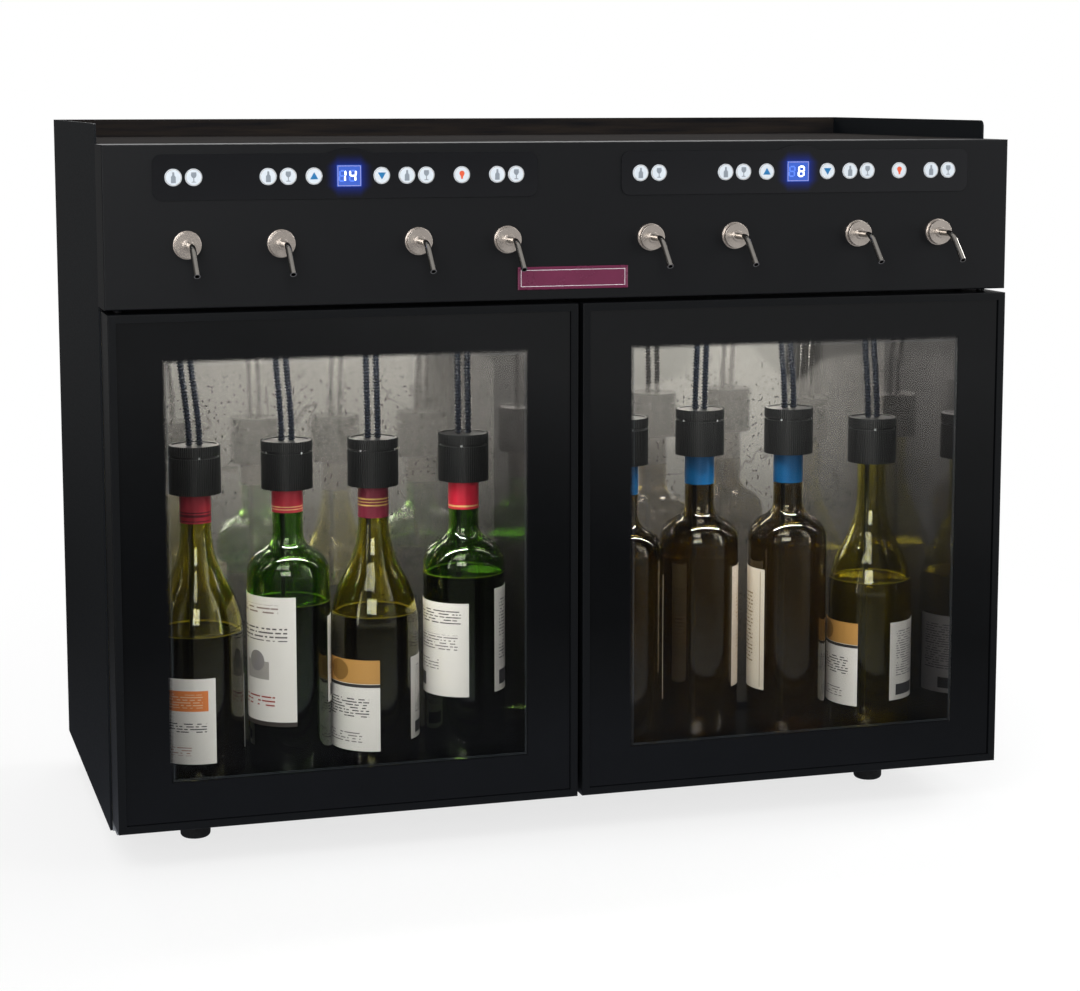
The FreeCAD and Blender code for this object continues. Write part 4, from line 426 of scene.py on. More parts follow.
# Uncoated label paper: matt, faintly fibrous. Each print has a paper colour and its marks, whose left, right,
# bottom and top are in hundredths of the label.
WHITE_PAPER = "#eeedec"
PRINTS = {
    "orange_block": (WHITE_PAPER, (
        ("block", 10, 92, 62, 86, "#e08040"), ("rules", 16, 86, 66, 82, "#e8c0a0"),
        ("rules", 12, 90, 36, 50, "#2a2a2c"), ("rules", 30, 74, 10, 22, "#b09088"))),
    "tall_white": (WHITE_PAPER, (
        ("block", 0, 100, 0, 3.5, "#3a3430"), ("rules", 20, 80, 86, 94, "#90807a"),
        ("rules", 10, 90, 66, 78, "#5a5658"), ("block", 32, 68, 36, 50, "#a4a19e"),
        ("disc", 38, 62, 42, 58, "#8a878a"), ("rules", 25, 75, 14, 24, "#a04840"))),
    "tan_band": (WHITE_PAPER, (
        ("block", 0, 100, 74, 100, "#c0904c"), ("block", 0, 100, 70, 73.5, "#2c2a2a"),
        ("disc", 36, 64, 76, 99, "#8a6428"), ("rules", 12, 88, 36, 58, "#3a383a"),
        ("rules", 20, 80, 8, 20, "#807c7e"))),
    "plain_white": (WHITE_PAPER, (
        ("rules", 10, 90, 78, 92, "#4a4648"), ("rules", 14, 86, 50, 66, "#7a7678"),
        ("rules", 10, 60, 28, 40, "#8a8688"), ("block", 8, 34, 8, 22, "#3c3c40"))),
    "back": ("#d4d2d0", (
        ("rules", 12, 88, 30, 90, "#77747a"), ("block", 12, 60, 6, 20, "#3c3c40"))),
    "seen_from_behind": ("#b89c78", (("rules", 10, 90, 20, 80, "#9a8060"),)),
    "cream": ("#dccfb4", (
        ("rules", 30, 80, 20, 80, "#8a7c5c"), ("block", 93, 94, 2, 98, "#8a7c5c"))),
}
PAPERS = {kind: label_print("label_" + kind, paper, marks) for kind, (paper, marks) in PRINTS.items()}


# ---------- shaping

def active(piece):
    """Make one piece the only one selected."""
    bpy.ops.object.select_all(action="DESELECT")
    piece.select_set(True)
    bpy.context.view_layer.objects.active = piece


def settle(piece):
    """Put a piece's place, turn and size into its mesh."""
    active(piece)
    bpy.ops.object.transform_apply(location=True, rotation=True, scale=True)


def put(piece, place, turn=(0, 0, 0)):
    """Turn a piece, move it to a place in millimetres and settle it there."""
    piece.rotation_euler = turn
    piece.location = Vector(place) * MM
    settle(piece)
    return piece


def start(make, name, scale=(1, 1, 1), **settings):
    """Add a primitive with nothing else selected, and settle it at its size."""
    bpy.ops.object.select_all(action="DESELECT")
    make(**settings)
    piece = bpy.context.object
    piece.name = piece.data.name = name
    piece.scale = scale
    settle(piece)
    return piece


def done():
    """Leave edit mode."""
    bpy.ops.object.mode_set(mode="OBJECT")


def whole():
    """Select all of the piece in edit mode."""
    bpy.ops.mesh.select_all(action="SELECT")


def pick(piece, test=lambda at, way: True, mode="FACE"):
    """Open a piece in edit mode with the faces or points selected that pass a test."""
    active(piece)
    bpy.ops.object.mode_set(mode="EDIT")
    bpy.ops.mesh.select_mode(type=mode)
    bpy.ops.mesh.select_all(action="DESELECT")
    done()
    mesh = piece.data
    if mode == "FACE":
        for face in mesh.polygons:
            face.select = bool(test(face.center, face.normal))
    else:
        for point in mesh.vertices:
            point.select = bool(test(point.co, point.normal))
    bpy.ops.object.mode_set(mode="EDIT")


def pulled(way):
    """Thicken the flat shape in edit mode along a way in millimetres, faces outward."""
    whole()
    bpy.ops.mesh.extrude_region_move(TRANSFORM_OT_translate={"value": Vector(way) * MM})
    whole()
    bpy.ops.mesh.normals_make_consistent(inside=False)
    done()


def shade(piece, degrees=35):
    """Smooth shading that keeps edges sharper than an angle."""
    active(piece)
    bpy.ops.object.shade_smooth_by_angle(angle=math.radians(degrees))


def apply(piece, kind, **settings):
    """Add one modifier and apply it."""
    active(piece)
    made = piece.modifiers.new(kind.lower(), kind)
    for name, value in settings.items():
        setattr(made, name, value)
    bpy.ops.object.modifier_apply(modifier=made.name)


def copied(piece, name, place=(0, 0, 0), turn=0):
    """A copy with its own mesh, turned about the upright axis and put at a place."""
    active(piece)
    bpy.ops.object.duplicate(linked=False)
    copy = bpy.context.object
    copy.name = copy.data.name = name
    return put(copy, place, (0, 0, turn))


def joined(pieces, name):
    """Several meshes as one piece."""
    active(pieces[0])
    for piece in pieces:
        piece.select_set(True)
    bpy.ops.object.join()
    pieces[0].name = pieces[0].data.name = name
    return pieces[0]


def coat(piece, *materials):
    """Give a piece its materials."""
    piece.data.materials.clear()
    for made in materials:
        piece.data.materials.append(made)
    return piece


def show(piece, slot, *nodes, body="cabinet"):
    """Let a finished piece ride on its body, in place of CAD nodes."""
    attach(piece, body)
    if nodes:
        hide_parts(*nodes)


def lathe(name, outline, steps=56):
    """Turn an outline of radii and heights in millimetres round the upright axis."""
    piece = start(bpy.ops.mesh.primitive_plane_add, name, size=MM)
    bpy.ops.object.mode_set(mode="EDIT")
    bpy.ops.mesh.select_mode(type="VERT")
    whole()
    bpy.ops.mesh.merge(type="CENTER")
    last = Vector((outline[0][0], 0, outline[0][1]))
    bpy.ops.transform.translate(value=last * MM)
    for radius, height in outline[1:]:
        point = Vector((radius, 0, height))
        bpy.ops.mesh.extrude_vertices_move(TRANSFORM_OT_translate={"value": (point - last) * MM})
        last = point
    whole()
    bpy.ops.mesh.spin(steps=steps, angle=2 * math.pi, center=(0, 0, 0), axis=(0, 0, 1))
    whole()
    bpy.ops.mesh.remove_doubles(threshold=1e-6)
    bpy.ops.mesh.normals_make_consistent(inside=False)
    done()
    shade(piece)
    return piece


def rounded(piece, edge):
    """Round a piece's sharp edges."""
    apply(piece, "BEVEL", width=edge * MM, segments=2, limit_method="ANGLE")
    return piece


def slab(name, low, high, edge):
    """A block between two corners in millimetres, its edges rounded."""
    low, high = Vector(low), Vector(high)
    return rounded(start(bpy.ops.mesh.primitive_cube_add, name, (high - low) * MM, size=1,
                         location=(low + high) / 2 * MM), edge)


def ring(name, low, high, width, edge=0.0):
    """A rectangular ring between two corners, open along y, its bars of one width."""
    low, high = Vector(low), Vector(high)
    size, middle = high - low, (low + high) / 2
    piece = start(bpy.ops.mesh.primitive_plane_add, name, (size.x * MM, size.z * MM, 1), size=1,
                  location=(middle.x * MM, low.y * MM, middle.z * MM), rotation=UPRIGHT)
    pick(piece)
    bpy.ops.mesh.inset(thickness=width * MM)
    bpy.ops.mesh.delete(type="FACE")
    pulled((0, size.y, 0))
    return rounded(piece, edge) if edge else piece


def silhouette(name, steps, thick):
    """A flat symmetrical sign, from half widths and heights in millimetres, standing in front of y 0."""
    half, low = steps[0]
    piece = start(bpy.ops.mesh.primitive_plane_add, name, size=MM, rotation=UPRIGHT)
    pick(piece, lambda at, way: at.z > 0, "VERT")
    bpy.ops.mesh.delete(type="VERT")
    whole()
    bpy.ops.transform.translate(value=(0, 0, (0.5 + low) * MM))
    bpy.ops.transform.resize(value=(2 * half, 1, 1), center_override=(0, 0, low * MM))
    for (wide, below), (next_wide, height) in zip(steps, steps[1:]):
        bpy.ops.mesh.extrude_region_move(TRANSFORM_OT_translate={"value": (0, 0, (height - below) * MM)})
        bpy.ops.transform.resize(value=(next_wide / wide, 1, 1), center_override=(0, 0, height * MM))
    pulled((0, -thick, 0))
    return piece


# ---------- bottles

def arc(centre, radius, first, last, steps):
    """Points of an arc in the outline's plane, without its first."""
    return [(centre[0] + radius * math.cos(first + (last - first) * k / steps),
             centre[1] + radius * math.sin(first + (last - first) * k / steps))
            for k in range(1, steps + 1)]


def shoulder(low, high, steps=12):
    """The two tangent arcs of a bottle's shoulder, from its body to its neck."""
    narrow, rise = low[0] - high[0], high[1] - low[1]
    total = (narrow ** 2 + rise ** 2) / (2 * narrow)
    # A high, narrow shoulder gets two arcs of about the same size; a low, broad one is rounder below.
    first = total * (0.62 if narrow > 0.4 * rise else 0.5)
    turn = math.atan2(rise, total - narrow)
    over = (high[0] + total - first, high[1])
    return (arc((low[0] - first, low[1]), first, 0, turn, steps)
            + arc(over, total - first, turn + math.pi, math.pi, steps))


def bottle_side(mould, inset):
    """One face of the glass, from the foot's middle to the neck's top."""
    radius, height, body, neck = MOULDS[mould]
    wide, slim, low = radius - inset, NECK - inset, inset
    points = [(0, low + 1.2), (wide - HEEL - 8, low + 0.8), (wide - HEEL, low)]
    points += arc((wide - HEEL, low + HEEL), HEEL, -math.pi / 2, 0, 6)
    points += [(wide, body)] + shoulder((wide, body), (slim, neck))
    return points + [(slim, height - (0 if inset else LIP_HEIGHT + 1))]


def bottle_glass(mould):
    """Moulded glass: body, neck, rolled lip and the hollow inside."""
    height = MOULDS[mould][1]
    lip = [(NECK + 0.1, height - LIP_HEIGHT), (LIP, height - LIP_HEIGHT + 0.6), (LIP, height - 7),
           (NECK + 0.1, height - 6.4), (NECK + 0.1, height - 5.6), (LIP, height - 5), (LIP, height - 1),
           (LIP - 1, height), (NECK - GLASS_WALL + 0.6, height)]
    return lathe("bottle_" + mould, bottle_side(mould, 0) + lip + bottle_side(mould, GLASS_WALL)[::-1])


def wine_body(name, mould, level):
    """What is left in a bottle, pressed against the glass, its surface drawn up at the rim."""
    side = [point for point in bottle_side(mould, GLASS_WALL - WINE_GAP) if point[1] < level]
    edge = side[-1][0]
    top = [(edge, level), (edge, level + RIM_RISE), (edge - 1.2, level + 0.5), (edge - RIM_REACH, level),
           (0, level)]
    return lathe(name, side + top, 48)


def capsule_foil(name, mould, length):
    """A foil sleeve with a rolled upper edge and slight bands."""
    height = MOULDS[mould][1]
    low, high = height - length, height - CAPSULE_TOP
    inner, outer = NECK + 0.05, NECK + 0.35
    outside = [(outer - 0.06 * (k % 3 == 1), low + (high - low) * k / CAPSULE_ROWS)
               for k in range(CAPSULE_ROWS + 1)]
    return lathe(name, [(inner, low)] + outside + [(inner, high), (inner, low)], 64)


def paper_label(name, bottle, right, sweep, low, high):
    """A paper strip bent round a bottle, its right edge at an angle from the front."""
    mould, x, y = BOTTLES[bottle][:3]
    radius = MOULDS[mould][0] + PAPER_GAP
    angle = math.radians(sweep)
    piece = start(bpy.ops.mesh.primitive_grid_add, name, (radius * angle * MM, (high - low) * MM, 1),
                  x_subdivisions=36, y_subdivisions=3, size=1, rotation=UPRIGHT)
    apply(piece, "SIMPLE_DEFORM", deform_method="BEND", deform_axis="Z", angle=angle)
    put(piece, (0, -radius, 0))
    apply(piece, "SOLIDIFY", thickness=PAPER_THICK * MM, offset=1)
    put(piece, (x, y, SHELF + (low + high) / 2), (0, 0, math.radians(right - sweep / 2)))
    shade(piece)
    return piece


masters = {mould: bottle_glass(mould) for mould in MOULDS}
for i, (mould, x, y, _, _, level, tint, wine, wrap, length) in enumerate(BOTTLES):
    place = (x, y, SHELF)
    bottle = copied(masters[mould], "bottle_%d" % (i + 1), place)
    show(coat(bottle, GLASSES[tint]), "bottle_glass", "bottles")
    filled = put(wine_body("wine_%d" % (i + 1), mould, level), place)
    coat(filled, WINES[wine], WINE_RIM_HIGHLIGHT)
    # Painted highlight: the rim faces of red and gold wine take the pale olive line.
    for face in filled.data.polygons:
        face.material_index = int(wine != "white" and face.center.z > (SHELF + level + 0.2) * MM)
    show(filled, "wine", "wine")
    if wrap:
        sleeve = put(capsule_foil("capsule_%d" % (i + 1), mould, length), place)
        show(coat(sleeve, FOILS[wrap]), "capsule_foil", "capsules")
for piece in masters.values():
    bpy.data.objects.remove(piece)
for i, (*where, printed) in enumerate(LABELS):
    strip = paper_label("label_%d" % (i + 1), *where)
    show(coat(strip, PAPERS[printed]), "label_paper", "labels")


# ---------- stoppers and hoses

# Stopper: radius, height of its top, gap under it, length of its skirt, and where its ribs begin.
CAP, CAP_TOP, CAP_JOINT, SKIRT, CAP_STEP = 24, 10, 1.2, 34, 0.8
RIBS, RIB_DEPTH = 72, 1.3
# The dish in its top, the groove round the collar, and how far the lugs stand out of it.
DISH_EDGE, DISH, GROOVE, LUG_HIGH = 3.2, 0.8, 1.8, 1.2
# What goes into the neck, and the skirt's inside: the narrow mouth, the bore and the wall over it.
SPIGOT, PLUG, PLUG_LENGTH = 5, 11.05, 22
MOUTH, MOUTH_DEEP, BORE, SKIRT_WALL = 14.9, 3.5, 16.9, 1.2
# Hoses: half their distance, their rise from the stopper, and the ceiling holes' row and height.
PAIR, RISE, HOLE_ROW, CEILING = 4.8, 22, -41.13, 447
# Above the ceiling: side, height of the turn and of the run, and how far back the run starts and ends.
HOSES = {"wine": (-1, 538, 556, -59.13, -89.13), "gas": (1, 520.5, 538.5, -23.13, 6.87)}


def drum(name, sides, radius, low, high):
    """An upright drum between two heights in millimetres."""
    return start(bpy.ops.mesh.primitive_cylinder_add, name, vertices=sides, radius=radius * MM,
                 depth=(high - low) * MM, location=(0, 0, (low + high) / 2 * MM))


def raise_faces(height):
    """Push the picked faces out along their normals, and leave edit mode."""
    bpy.ops.mesh.extrude_faces_move(TRANSFORM_OT_shrink_fatten={"value": height * MM})
    done()


def ribbed(name, low, high):
    """An upright drum with fine ribs: every second face of its side is raised."""
    piece = drum(name, 2 * RIBS, CAP - RIB_DEPTH, low, high)
    step = math.pi / RIBS

    def on_rib(at, way):
        return abs(way.z) < 0.5 and int(math.floor(math.atan2(at.y, at.x) / step)) % 2 == 0

    pick(piece, lambda at, way: abs(way.z) > 0.5)
    bpy.ops.mesh.inset(thickness=0.5 * MM)
    done()
    pick(piece, on_rib)
    bpy.ops.mesh.inset(thickness=0.12 * MM, use_individual=True)
    raise_faces(RIB_DEPTH)
    return piece


def drill(piece, height, radius, depth):
    """Sink a round recess, or raise a boss where the depth is below zero, in the flat end at a height."""
    pick(piece, lambda at, way: abs(at.z - height * MM) < 1e-5 and abs(at.x) + abs(at.y) < 1e-4
         and abs(way.z) > 0.5)
    widest = max(math.hypot(*piece.data.vertices[i].co.xy) for face in piece.data.polygons if face.select
                 for i in face.vertices)
    bpy.ops.mesh.inset(thickness=widest - radius * MM)
    bpy.ops.mesh.extrude_region_move(TRANSFORM_OT_translate={"value": (0, 0, depth * MM)})
    done()


def stopper():
    """Ribbed top with its plug, a lugged joint, and the ribbed skirt that grips the neck."""
    top = ribbed("stopper_top", CAP_STEP, CAP_TOP)
    drill(top, CAP_STEP, BORE - 0.3, -SPIGOT - CAP_STEP)
    drill(top, -SPIGOT, PLUG, -PLUG_LENGTH)
    drill(top, CAP_TOP, CAP - DISH_EDGE, -DISH)
    low = -CAP_JOINT - SKIRT
    skirt = ribbed("stopper_skirt", low, -CAP_JOINT)
    drill(skirt, low, MOUTH, MOUTH_DEEP)
    drill(skirt, low + MOUTH_DEEP, BORE, SKIRT - MOUTH_DEEP - SKIRT_WALL)
    collar = drum("stopper_collar", 72, CAP - GROOVE, -CAP_JOINT, CAP_STEP)
    coat(collar, STOPPER, LUG_GLINT)
    # A lug on every ninth of the 72 faces, which are 5 degrees wide.
    pick(collar, lambda at, way: abs(way.z) < 0.5
         and round(math.degrees(math.atan2(at.y, at.x)) / 5) % 9 == 0)
    raise_faces(LUG_HIGH)
    # Painted glint: the raised lug faces take the pale grey.
    for face in collar.data.polygons:
        face.material_index = int(face.select)
    for piece in (top, skirt):
        coat(piece, STOPPER)
    return joined([top, skirt, collar], "stopper")


def hose_line(name, points):
    """The smooth line of a hose through its route's control points."""
    data = bpy.data.curves.new(name, "CURVE")
    data.dimensions = "3D"
    data.resolution_u = 24
    data.twist_mode = "MINIMUM"
    line = data.splines.new("NURBS")
    line.points.add(len(points) - 1)
    for control, point in zip(line.points, points):
        control.co = [c * MM for c in point] + [1]
    line.order_u = 3
    line.use_endpoint_u = True
    path = bpy.data.objects.new(name, data)
    bpy.context.scene.collection.objects.link(path)
    return path


def hose(name, points):
    """Corrugated hose: one ring repeated along the hose's line."""
    path = hose_line(name + "_line", points)
    piece = copied(one_ring, name)
    apply(piece, "ARRAY", fit_type="FIT_CURVE", curve=path, use_merge_vertices=True,
          merge_threshold=0.05 * MM)
    apply(piece, "CURVE", object=path, deform_axis="POS_X")
    bpy.data.objects.remove(path)
    shade(piece, 40)
    return piece


master = stopper()
# One pitch of corrugated hose, 3 mm long, lying along x.
one_ring = put(lathe("hose_ring", [(2.3, 0), (2.3, 0.5), (3.7, 1.3), (3.73, 1.8), (2.3, 2.7), (2.3, 3)], 14),
               (0, 0, 0), (0, math.pi / 2, 0))
for i, (mould, x, y, tap, lean, *_) in enumerate(BOTTLES):
    joint = SHELF + MOULDS[mould][1] + SPIGOT
    fitted = copied(master, "stopper_%d" % (i + 1), (x, y, joint), turn=0.4 * i)
    show(fitted, "stopper_plastic", "stoppers")
    top = joint + CAP_TOP - DISH
    for use, (side, turn, high, bend, valve) in HOSES.items():
        aside = side * PAIR
        hole = x + lean + aside
        end = tap + aside if use == "wine" else hole
        tube = hose("%s_hose_%d" % (use, i + 1), [
            (x + aside, y, top), (x + aside, y, top + RISE), (hole, HOLE_ROW, CEILING),
            (hole, HOLE_ROW, turn), (end, bend, high), (end, valve, high)])
        show(coat(tube, HOSE), "hose", "hoses")
    low, high = SHELF + 8, joint - SPIGOT - PLUG_LENGTH + 1
    wall = [(1.5, low + 3), (1.5, high), (2.5, high), (2.5, low + 0.6), (2.2, low), (1.5, low)]
    dip = put(lathe("dip_tube_%d" % (i + 1), wall + wall[:1], 16), (x - PAIR, y, 0))
    show(coat(dip, DIP), "hose", "hoses")
for piece in (master, one_ring):
    bpy.data.objects.remove(piece)


# ---------- doors

# How far a window's sides, top and bottom lie inside the door frame's edges.
VIEW_SIDE, VIEW_TOP, VIEW_LOW = 46, 40, 41
PANE_THICK, PANE_BORDER, SPACER_WIDE, SPACER_BACK = 4, 8, 8, 5


def pane_with_border(name, low, high, window):
    """A bevelled pane, cut along the window's edges so that its border can be enamelled."""
    piece = slab(name, low, high, 0.5)
    left, right, bottom, top = window
    for inset in (0, FADE):
        for place, way in (((left + inset, 0, 0), (1, 0, 0)), ((right - inset, 0, 0), (1, 0, 0)),
                           ((0, 0, bottom + inset), (0, 0, 1)), ((0, 0, top - inset), (0, 0, 1))):
            pick(piece)
            bpy.ops.mesh.bisect(plane_co=Vector(place) * MM, plane_no=way)
            done()
    coat(piece, BLACK_GLASS, PANE, DOTS)
    for face in piece.data.polygons:
        x, y, z = face.center / MM
        clear = left + FADE < x < right - FADE and bottom + FADE < z < top - FADE
        if left < x < right and bottom < z < top:
            face.material_index = 2 if abs(y - low.y) < 0.1 and not clear else 1
    return piece


for side in ("left", "right"):
    door, unit = side + "_door", side + "_glass_unit"
    low, high = (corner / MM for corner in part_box(side + "_door_frame"))
    near, far = (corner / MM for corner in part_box(unit))
    left, right = low.x + VIEW_SIDE, high.x - VIEW_SIDE
    bottom, top = low.z + VIEW_LOW, high.z - VIEW_TOP
    outer = pane_with_border(side + "_outer_pane", near, (far.x, near.y + PANE_THICK, far.z),
                             (left, right, bottom, top))
    show(outer, "door_glass", unit, body=door)
    inner = slab(side + "_inner_pane", (near.x, far.y - PANE_THICK, near.z), far, 0.4)
    pick(inner, lambda at, way: abs(way.y) > 0.5)
    bpy.ops.mesh.inset(thickness=PANE_BORDER * MM)
    done()
    show(coat(inner, PANE), "door_glass", unit, body=door)
    out = SPACER_WIDE + SPACER_BACK
    bar = ring(side + "_spacer_bar", (left - out, near.y + PANE_THICK, bottom - out),
               (right + out, far.y - PANE_THICK, top + out), SPACER_WIDE, 0.6)
    shade(bar)
    show(coat(bar, SPACER), "door_glass", unit, body=door)


# ---------- signs on the keys, displays and plate

BOTTLE_SIGN = ((2.1, -4.7), (2.1, 0.4), (0.95, 1.8), (0.8, 4.6))
GLASS_SIGN = ((2.0, -4.4), (1.8, -3.9), (0.4, -3.6), (0.4, -0.8), (1.5, -0.1), (2.4, 1.6), (2.1, 4.3))
UP_SIGN = ((3.6, -2.7), (0.06, 3.4))
DOWN_SIGN = ((0.06, -3.4), (3.6, 2.7))
LAMP_SIGN = ((0.8, -3.6), (0.95, -1.7), (1.5, -0.8), (2.3, 0.8), (2.25, 2.0), (1.5, 3.1), (0.5, 3.5))
SIGNS = {"bottle_key": (BOTTLE_SIGN, GREY_INK), "glass_key": (GLASS_SIGN, GREY_INK),
         "up_key": (UP_SIGN, BLUE_INK), "down_key": (DOWN_SIGN, BLUE_INK), "light_key": (LAMP_SIGN, RED_INK)}
INK_THICK, KEY_RADIUS, KEY_RIM, KEY_RIM_THICK = 0.12, 6.9, 0.35, 0.08

for name in sorted(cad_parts):
    kind = next((kind for kind in SIGNS if kind in name), None)
    if kind:
        low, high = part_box(name)
        face = Vector((low.x + high.x, 2 * low.y, low.z + high.z)) / 2 / MM
        steps, ink = SIGNS[kind]
        sign = put(silhouette(name + "_sign", steps, INK_THICK), face)
        show(coat(sign, ink), "key_plastic", body=name + "_cap")
        # Painted shade: a warm grey ring is laid round each key's edge.
        rim = start(bpy.ops.mesh.primitive_circle_add, name + "_rim", vertices=40, radius=KEY_RADIUS * MM,
                    fill_type="NGON", rotation=UPRIGHT)
        pick(rim)
        bpy.ops.mesh.inset(thickness=KEY_RIM * MM)
        bpy.ops.mesh.delete(type="FACE")
        pulled((0, -KEY_RIM_THICK, 0))
        show(coat(put(rim, face), KEY_RING_SHADE), "key_plastic", body=name + "_cap")

# Seven segments: across, up, and whether each lies flat; then those of each numeral.
SEGMENTS = {"a": (0, 4.4, 1), "b": (2.5, 2.2, 0), "c": (2.5, -2.2, 0), "d": (0, -4.4, 1),
            "e": (-2.5, -2.2, 0), "f": (-2.5, 2.2, 0), "g": (0, 0, 1)}
NUMERALS = {"1": "bc", "4": "bcfg", "8": "abcdefg", " ": ""}
BAR = ((0.1, -2.1), (0.72, -1.5), (0.72, 1.5), (0.1, 2.1))
BAR_THICK, LEAN = 0.1, 0.1
DIGIT_PLACES = (-6.1, 3.1)
DISPLAY_EDGE, EDGE_THICK = 0.45, 0.15
display_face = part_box("display_windows")[0].y / MM
for side, sign, digits in (("left", -1, "14"), ("right", 1, " 8")):
    middle = Vector((sign * DISPLAY_X, display_face, KEY_ROW))
    for lit, ink, word in ((True, DIGIT, "lit"), (False, GHOST, "unlit")):
        bars = []
        for place, digit in zip(DIGIT_PLACES, digits):
            for key, (x, z, lying) in SEGMENTS.items():
                if (key in NUMERALS[digit]) == lit:
                    at = middle + Vector((place + x + LEAN * z, 0, z))
                    bars.append(put(silhouette("segment", BAR, BAR_THICK), at, (0, math.pi / 2 * lying, 0)))
        if bars:
            group = joined(bars, "%s_display_%s_segments" % (side, word))
            show(coat(group, ink), "display_filter")
    half = Vector((DISPLAY_HALF[0], 0, DISPLAY_HALF[1]))
    front = Vector((0, EDGE_THICK, 0))
    edge = ring(side + "_display_edge", middle - half - front, middle + half, DISPLAY_EDGE)
    show(coat(edge, PALE_FRAME), "display_filter")

# The plate's left, right, bottom and top, its thickness, and its rim's width; the line lies inside that.
PLATE_BOX, PLATE_THICK, PLATE_RIM = (-58, 46, 510.5, 531), 1.2, 1.4
LINE_IN, LINE_OUT, LINE_BACK, LINE_WIDE = 2.8, 1.15, 0.9, 0.5
left, right, bottom, top = PLATE_BOX
plate = slab("name_plate", (left, FASCIA_FRONT - PLATE_THICK, bottom), (right, FASCIA_FRONT, top), 0.5)
pick(plate, lambda at, way: way.y < -0.9)
bpy.ops.mesh.inset(thickness=PLATE_RIM * MM, depth=-0.25 * MM)
done()
show(coat(plate, PLUM), "fascia_paint")
line = ring("name_plate_line", (left + LINE_IN, FASCIA_FRONT - LINE_OUT, 513.2),
            (right - LINE_IN, FASCIA_FRONT - LINE_BACK, 528.2), LINE_WIDE)
show(coat(line, PALE_LINE), "fascia_paint")


# ---------- finishes of the frame's own parts

CAD_FINISH = {
    "cabinet_shell": POWDER, "top_tray": TRAY, "rear_panel": POWDER, "panel_screws": ZINC, "feet": RUBBER,
    "front_fascia": FASCIA, "insulation": FOAM, "chamber_liners": LINER, "floor_trays": FLOOR_TRAY,
    "light_bars": LIGHT, "machine_deck": GALVANISED, "control_bezels": BEZEL, "display_windows": DISPLAY,
    "control_boards": BOARD, "spouts": SPOUT, "spout_flanges": FLANGE, "valve_bank": VALVE,
    "gas_inlet": BRASS, "cooling_modules": PLATE, "heat_sinks": ALUMINIUM, "fan_frames": FAN,
    "left_fan_rotor": FAN, "right_fan_rotor": FAN, "power_supply": GALVANISED, "power_inlet": INLET,
    "left_door_frame": FRAME, "right_door_frame": FRAME, "left_seal": SEAL, "right_seal": SEAL,
    "hinge_brackets": BRACKET,
}
for name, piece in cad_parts.items():
    finish = KEY if "_key" in name else CAD_FINISH.get(name)
    if finish:
        for slot in piece.material_slots:
            slot.material = finish


# ---------- studio

scene = bpy.context.scene


def lamp(name, place, target, size, power, tone=WHITE):
    """A soft box that shines from a place to a target, in metres and watts."""
    data = bpy.data.lights.new(name, "AREA")
    data.shape = "RECTANGLE"
    data.size, data.size_y = size
    data.energy = power
    data.color = colour(tone)[:3]
    piece = bpy.data.objects.new(name, data)
    scene.collection.objects.link(piece)
    piece.location = place
    piece.rotation_euler = (Vector(target) - Vector(place)).to_track_quat("-Z", "Y").to_euler()


lamp("key_box", (-1.6, -2.6, 3.0), (0, 0, 0.35), (2.2, 1.4), 60)
lamp("front_box", (-1.25, -3.2, 1.25), (0, 0, 0.3), (1.6, 1.0), 48)
lamp("fill_box", (2.4, -2.2, 2.2), (0, 0, 0.35), (1.6, 1.6), 20)
lamp("back_box", (0.3, 2.6, 2.2), (0, 0, 0.4), (2.4, 1.2), 36)
lamp("left_strip", (-2.6, -1.7, 0.9), (0, 0, 0.35), (0.35, 1.8), 12)
lamp("right_strip", (2.3, -1.9, 0.9), (0, 0, 0.35), (0.3, 1.8), 10)
lamp("right_box", (2.9, 0.5, 1.5), (0.4, 0, 0.35), (1.4, 1.4), 60)
for name, x in (("left_chamber_lamp", -0.21), ("right_chamber_lamp", 0.21)):
    lamp(name, (x, -0.112, 0.466), (x, -0.02, 0.2), (0.3, 0.012), 1.6, "#fffcf8")

floor = start(bpy.ops.mesh.primitive_plane_add, "studio_floor", size=24)
# Seen by the camera it is white with soft shadows; what it throws back on the machine is grey; its mirror
# image is cool close by, dark further off, and paler at the right and far away.
made, node, shader = paint("pale_studio_floor", base_color="#f2f2f2", roughness=0.8, specular_ior_level=0.0)
path = node("LightPath").outputs
place = node("TexCoord").outputs["Object"]
away = node("VectorMath", {0: place}, "LENGTH")
lift = node("MapRange", {0: away, 1: 0.5, 2: 1.3, 3: 0.75, 4: 1.0}, interpolation_type="SMOOTHSTEP")
shown = node("MixShader", {0: lift, 1: shader, 2: node("Emission", {"Color": WHITE})})
thrown = node("BsdfDiffuse", {"Color": "#a8a8a8"})
seen = node("MixShader", {0: path["Is Camera Ray"], 1: thrown, 2: shown})
across, along = node("SeparateXYZ", {0: place}).outputs[:2]
mirrored = node("MapRange", {0: away, 1: 1.6, 2: 4.0, 3: 0.13, 4: 0.47})
close_by = node("MapRange", {0: away, 1: 1.1, 2: 0.5, 4: 0.28})
rightward = node("MapRange", {0: across, 1: 0.5, 2: 1.1, 4: 0.22})
in_front = node("MapRange", {0: along, 1: 0.1, 2: -0.3, 3: 0.3, 4: 1.0})
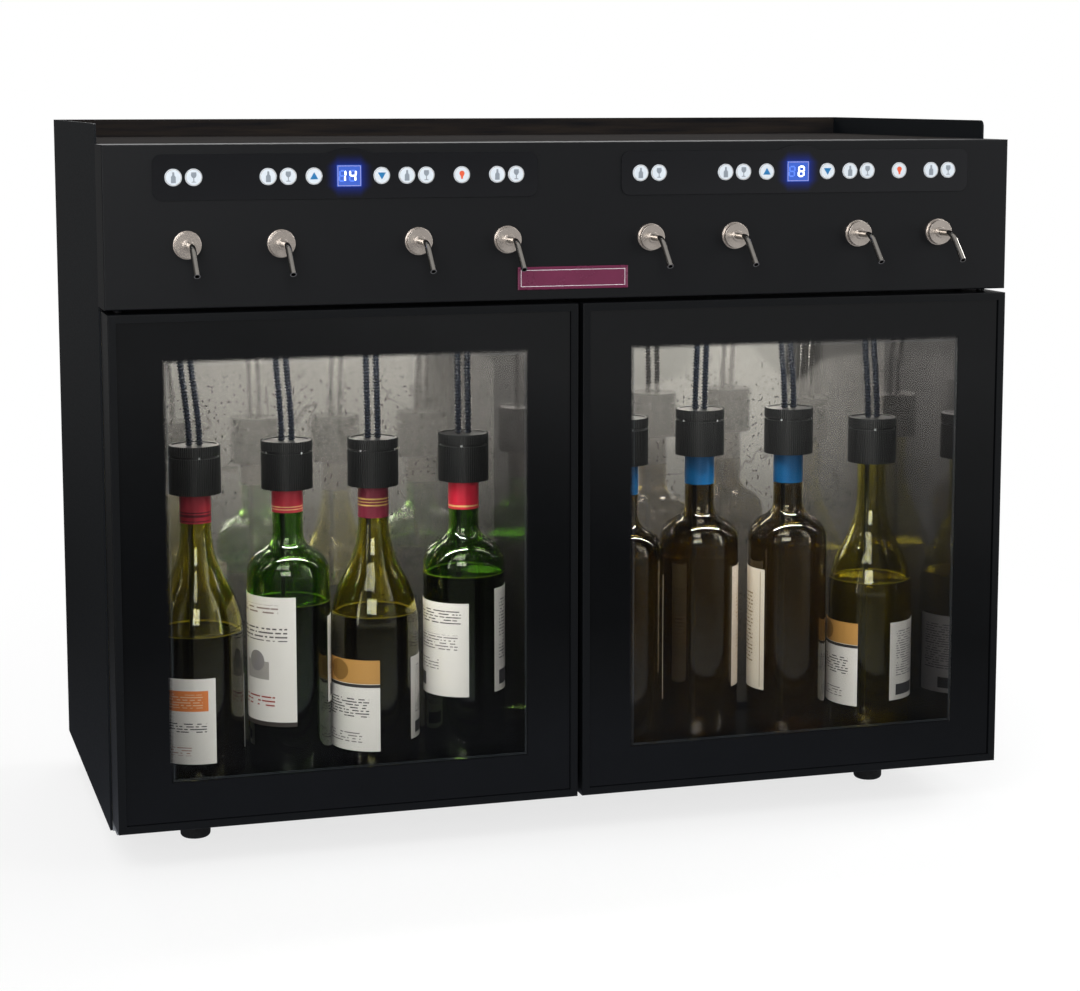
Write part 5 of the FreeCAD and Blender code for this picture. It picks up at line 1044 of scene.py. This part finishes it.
for more, way in ((close_by, "ADD"), (rightward, "ADD"), (in_front, "MULTIPLY")):
    mirrored = node("Math", {0: mirrored, 1: more}, way)
cool = node("Mix", {0: close_by, 6: WHITE, 7: "#9cbcff"}, "RGBA")
dim = node("Emission", {"Color": cool, "Strength": mirrored})
coat(floor, topped(made, node("MixShader", {0: path["Is Glossy Ray"], 1: seen, 2: dim})))

# The room: white to the camera; mirrored it is dark in front, with bright walls at both sides and above.
world = bpy.data.worlds.new("studio")
scene.world = world
world.use_nodes = True
world.node_tree.nodes.clear()
node = partial(add, world.node_tree)
path = node("LightPath").outputs
level = node("MapRange", {0: path["Is Camera Ray"], 3: 0.35, 4: 1.0})
through = node("Mix", {0: path["Is Transmission Ray"], 2: level, 3: 0.9})
across, along, rise = node("SeparateXYZ", {0: node("TexCoord").outputs["Generated"]}).outputs
sideways = node("Math", {0: across}, "ABSOLUTE")
walls = node("MapRange", {0: sideways, 1: 0.5, 2: 0.85, 4: 0.75})
ahead = node("MapRange", {0: along, 1: 0.1, 2: -0.3})
right_wall = node("MapRange", {0: across, 1: 0.28, 2: 0.5, 3: 0.1, 4: 0.6})
above = node("MapRange", {0: rise, 1: 0.7, 2: 0.95, 3: 0.14, 4: 0.7})
for more, way in ((ahead, "MULTIPLY"), (right_wall, "MAXIMUM"), (above, "MAXIMUM")):
    walls = node("Math", {0: walls, 1: more}, way)
glossy = node("Mix", {0: path["Is Glossy Ray"], 2: through, 3: walls})
node("OutputWorld", {"Surface": node("Background", {"Color": WHITE, "Strength": glossy})})

# The camera stands to the left of the front and a little above it.
lens = bpy.data.cameras.new("camera")
camera = bpy.data.objects.new("camera", lens)
scene.collection.objects.link(camera)
lens.lens = 81.1
lens.sensor_width = 36
lens.shift_y = -0.084
lens.clip_start, lens.clip_end = 0.05, 100
camera.location = (-0.662, -2.266, 0.684)
camera.rotation_euler = [math.radians(angle) for angle in (90 - 7.26, 0.02, -16.65)]
scene.camera = camera
scene.view_settings.view_transform = "Standard"
